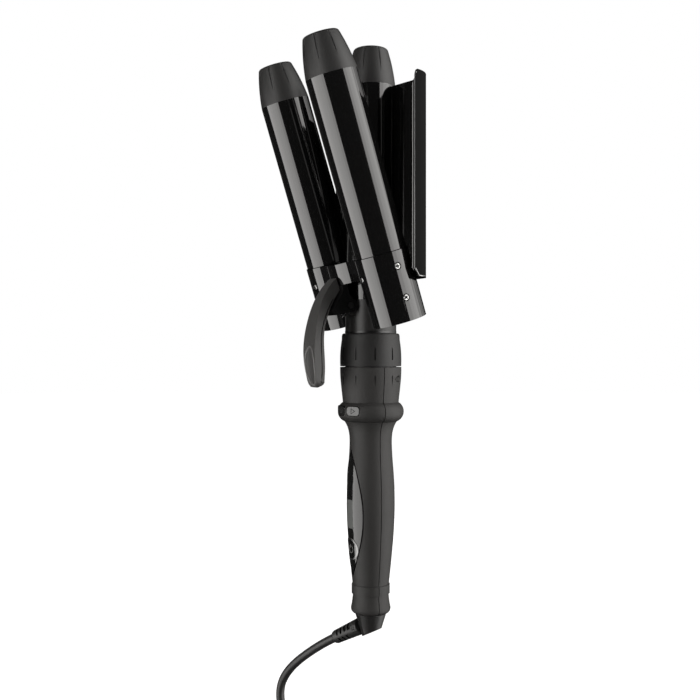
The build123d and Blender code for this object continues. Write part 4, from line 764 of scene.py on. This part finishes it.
def screw_set(name, stands_for, places, head_r, head_height, shank_length, hole_r):
    """All the screws of one CAD node as one piece, in millimetres. A place is a head's foot and its axis."""
    whole = bmesh.new()
    for number, (spot, axis) in enumerate(places):
        foot, axis = Vector(spot) * MM, Vector(axis)
        one = screw_shape(head_r * MM, head_height * MM, SHANK_R * MM, shank_length * MM, hole_r * MM)
        turn = axis.to_track_quat("Z", "Y").to_matrix().to_4x4()
        bmesh.ops.transform(one, matrix=Matrix.Translation(foot) @ turn, verts=one.verts)
        cross_turn = Matrix.Rotation(FIRST_CROSS + NEXT_CROSS * number, 3, axis)
        bmesh.ops.rotate(one, cent=foot, matrix=cross_turn, verts=one.verts)
        mesh = bpy.data.meshes.new("one_screw")
        one.to_mesh(mesh)
        one.free()
        whole.from_mesh(mesh)
        bpy.data.meshes.remove(mesh)
    screws = from_bmesh(name, whole)
    # the second material darkens the cross and the hole's lining: painted shade
    for material in (bright_steel, seam_and_shade_black):
        screws.data.materials.append(material)
    even_light(screws)
    stand_for(screws, stands_for)
    print(name, len(places), "screws")


# %% The clamp's own frame
HINGE = Vector((0, -20.0, 129.0))
OPEN = Matrix.Rotation(radians(17.4), 3, "X")
BARREL_X, BARREL_Y, SOCKET_R = 39.0, -3.0, 17.3


def opened(spot):
    """Where a point of the shut clamp lies when the clamp rests open."""
    return OPEN @ (spot - HINGE) + HINGE


print("barrel foot", [round(value, 1) for value in opened(Vector((BARREL_X, BARREL_Y, HINGE.z)))])

# %% Barrel seams
SEAM_Z, SEAM_RING_R, SEAM_LINE_R, SEAM_POINTS = 156.6, 17.0, 0.3, 48
seam_rings = []
for side in (1, -1):
    ring = []
    for step in range(SEAM_POINTS):
        turn = 2 * pi * step / SEAM_POINTS
        x, y = side * BARREL_X + SEAM_RING_R * cos(turn), BARREL_Y + SEAM_RING_R * sin(turn)
        ring.append(opened(Vector((x, y, SEAM_Z))))
    seam_rings.append(ring)
bead_piece("barrel_seams", seam_rings, SEAM_LINE_R, seam_and_shade_black, "clamp_housing", closed=True)

# %% Clamp screws
HEAD_SUNK = 1.3
clamp_places = []
for side in (1, -1):
    for turn, height in ((0, 147.2), (0, 127.2), (-96, 143.9)):
        out = Vector((side * cos(radians(turn)), sin(radians(turn)), 0))
        foot = Vector((side * BARREL_X, BARREL_Y, height)) + out * (SOCKET_R - HEAD_SUNK)
        clamp_places.append((opened(foot), OPEN @ out))
clamp_screw = {"head_r": 1.85, "head_height": 1.1, "shank_length": 1.8, "hole_r": 2.42}
screw_set("clamp_screws", "housing_screws", clamp_places, **clamp_screw)

# %% Back and handle screws
COVER_SEAT_Y, SHELL_SEAT_Y = 16.75, 6.15
back_places = [((x, COVER_SEAT_Y, z), (0, 1, 0)) for x in (21, -21) for z in (164, 256)]
back_screw = {"head_r": 2.2, "head_height": 0.9, "shank_length": 4.2, "hole_r": 2.5}
screw_set("back_screws", "cover_screws", back_places, **back_screw)
handle_places = [((x, SHELL_SEAT_Y, 81), (0, 1, 0)) for x in (15.8, -15.8)]
handle_screw = {"head_r": 2.05, "head_height": 1.45, "shank_length": 13.3, "hole_r": 2.2}
screw_set("handle_screws", "shell_screws", handle_places, **handle_screw)

# %% [markdown]
# ## Cord
# The cord is a 6 mm round cable. It leaves the swivel in line with the strain relief, bends down in one loose
# arc and reaches the floor below the view, where the rest of its length lies wound in two layers. The route
# is written for a swivel that points straight ahead, and then turned about the handle's axis with the swivel.

# %% Cord from the swivel to the floor
CORD_R = 3.0
FLOOR_Z = -173.0
SWIVEL_TURN = Matrix.Rotation(radians(-63), 3, "Z")
ARM_END = Vector((0, -29.7, -96.42))
ARM_DROP = radians(27.9)
arm_way = Vector((0, -cos(ARM_DROP), -sin(ARM_DROP)))
STRAIGHT_RUN = 14  # the cord leaves the relief straight
route = [
    ARM_END,
    ARM_END + STRAIGHT_RUN * arm_way,
    (0.2, -66.5, -120.5),
    (0.6, -78.0, -134.0),
    (0.8, -80.8, -145.5),
    (0.8, -78.2, -156.4),
    (0.5, -71.1, -165.1),
    (0, -61.0, FLOOR_Z + CORD_R),
    (0, -40.0, FLOOR_Z + CORD_R),
]
print("points down to the floor", len(route))

# %% Cord coil and plug end
COIL_TRACKS = [42.5, 36.5, 30.5, 24.5, 18.5, 24.5, 30.5, 36.5, 42.5]  # radius of each turn, inwards then out
COIL_X, COIL_Y = 42.5, -40.0
POINTS_PER_TURN = 16
CHANGE_FROM, CHANGE_LENGTH = 0.6, 0.4  # the part of a turn in which the cord slides to its next track
CLIMB_FROM = 4.6  # turns, after which it climbs on to the second layer
turns = len(COIL_TRACKS) - 0.5
for step in range(1, int(turns * POINTS_PER_TURN) + 1):
    turn, part = divmod(step / POINTS_PER_TURN, 1)
    here = COIL_TRACKS[int(turn)]
    after = COIL_TRACKS[min(int(turn) + 1, len(COIL_TRACKS) - 1)]
    slide = max(0.0, (part - CHANGE_FROM) / CHANGE_LENGTH)
    radius = here + (after - here) * slide
    climb = min(1.0, max(0.0, (step / POINTS_PER_TURN - CLIMB_FROM) / CHANGE_LENGTH))
    angle = pi - 2 * pi * step / POINTS_PER_TURN
    height = FLOOR_Z + CORD_R * (1 + 2 * climb)
    route.append((COIL_X + radius * cos(angle), COIL_Y + radius * sin(angle), height))
PLUG_X, PLUG_Z = 2 * COIL_X + 5.5, FLOOR_Z + 6.85
route += [
    (2 * COIL_X, COIL_Y - 11, FLOOR_Z + 3 * CORD_R),
    (PLUG_X, COIL_Y - 23, PLUG_Z),
    (PLUG_X, COIL_Y - 33, PLUG_Z),
]
route = [SWIVEL_TURN @ Vector(point) for point in route]
print("points to the plug", len(route))

# %% [markdown]
# ## Strain relief
# The relief is a row of rubber rings on a thin core, with slots between them, so that it bends evenly and the
# cord never kinks at its exit. The CAD has the slots. Their floors and walls get a black that mirrors
# nothing: painted shade, for a slot too narrow for light. A face belongs to a slot by its depth or by the way
# it faces.

# %% Strain relief
SLOTS_FROM, SLOTS_TO = -19, -1.5  # along the arm, from its end
CORE_R, WALL_FACING = 3.8, 0.6
relief_way = SWIVEL_TURN @ arm_way
relief_shape = merged_copy("strain_relief")
relief_shape.normal_update()
# faces in the slots get the second material, painted shade
for face in relief_shape.faces:
    spot = face.calc_center_median() / MM - SWIVEL_TURN @ ARM_END
    along = spot.dot(relief_way)
    deep = (spot - along * relief_way).length < CORE_R
    if SLOTS_FROM < along < SLOTS_TO and (deep or abs(face.normal.dot(relief_way)) > WALL_FACING):
        face.material_index = 1
print("slot faces", sum(face.material_index for face in relief_shape.faces))
relief = from_bmesh("soft_strain_relief", relief_shape)
for material in (cord_rubber, seam_and_shade_black):
    relief.data.materials.append(material)
even_light(relief)
stand_for(relief, "strain_relief")

# %% [markdown]
# ## Cord curve
# A rubber cable bends without corners, so the route's points are the control points of one NURBS spline,
# which runs smoothly inside them. The curve's own bevel makes the round cable.


# %% Cord curve
def nurbs_cord(name, points, radius):
    """A round cord along one smooth curve, its points given in millimetres."""
    line = bpy.data.curves.new(name, "CURVE")
    line.dimensions = "3D"
    line.resolution_u = 6
    line.bevel_depth = radius * MM
    line.bevel_resolution = 6
    line.use_fill_caps = True
    spline = line.splines.new("NURBS")
    spline.points.add(len(points) - 1)
    for place, point in zip(spline.points, points):
        place.co = (*(Vector(point) * MM), 1)
    spline.order_u = 3
    spline.use_endpoint_u = True
    piece = bpy.data.objects.new(name, line)
    bpy.context.scene.collection.objects.link(piece)
    return piece


cord = nurbs_cord("cord", route, CORD_R)
cord.data.materials.append(cord_rubber)
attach(cord, "swivel")
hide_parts("cord_tube", "cord_coil")
print("cord", len(route), "points")
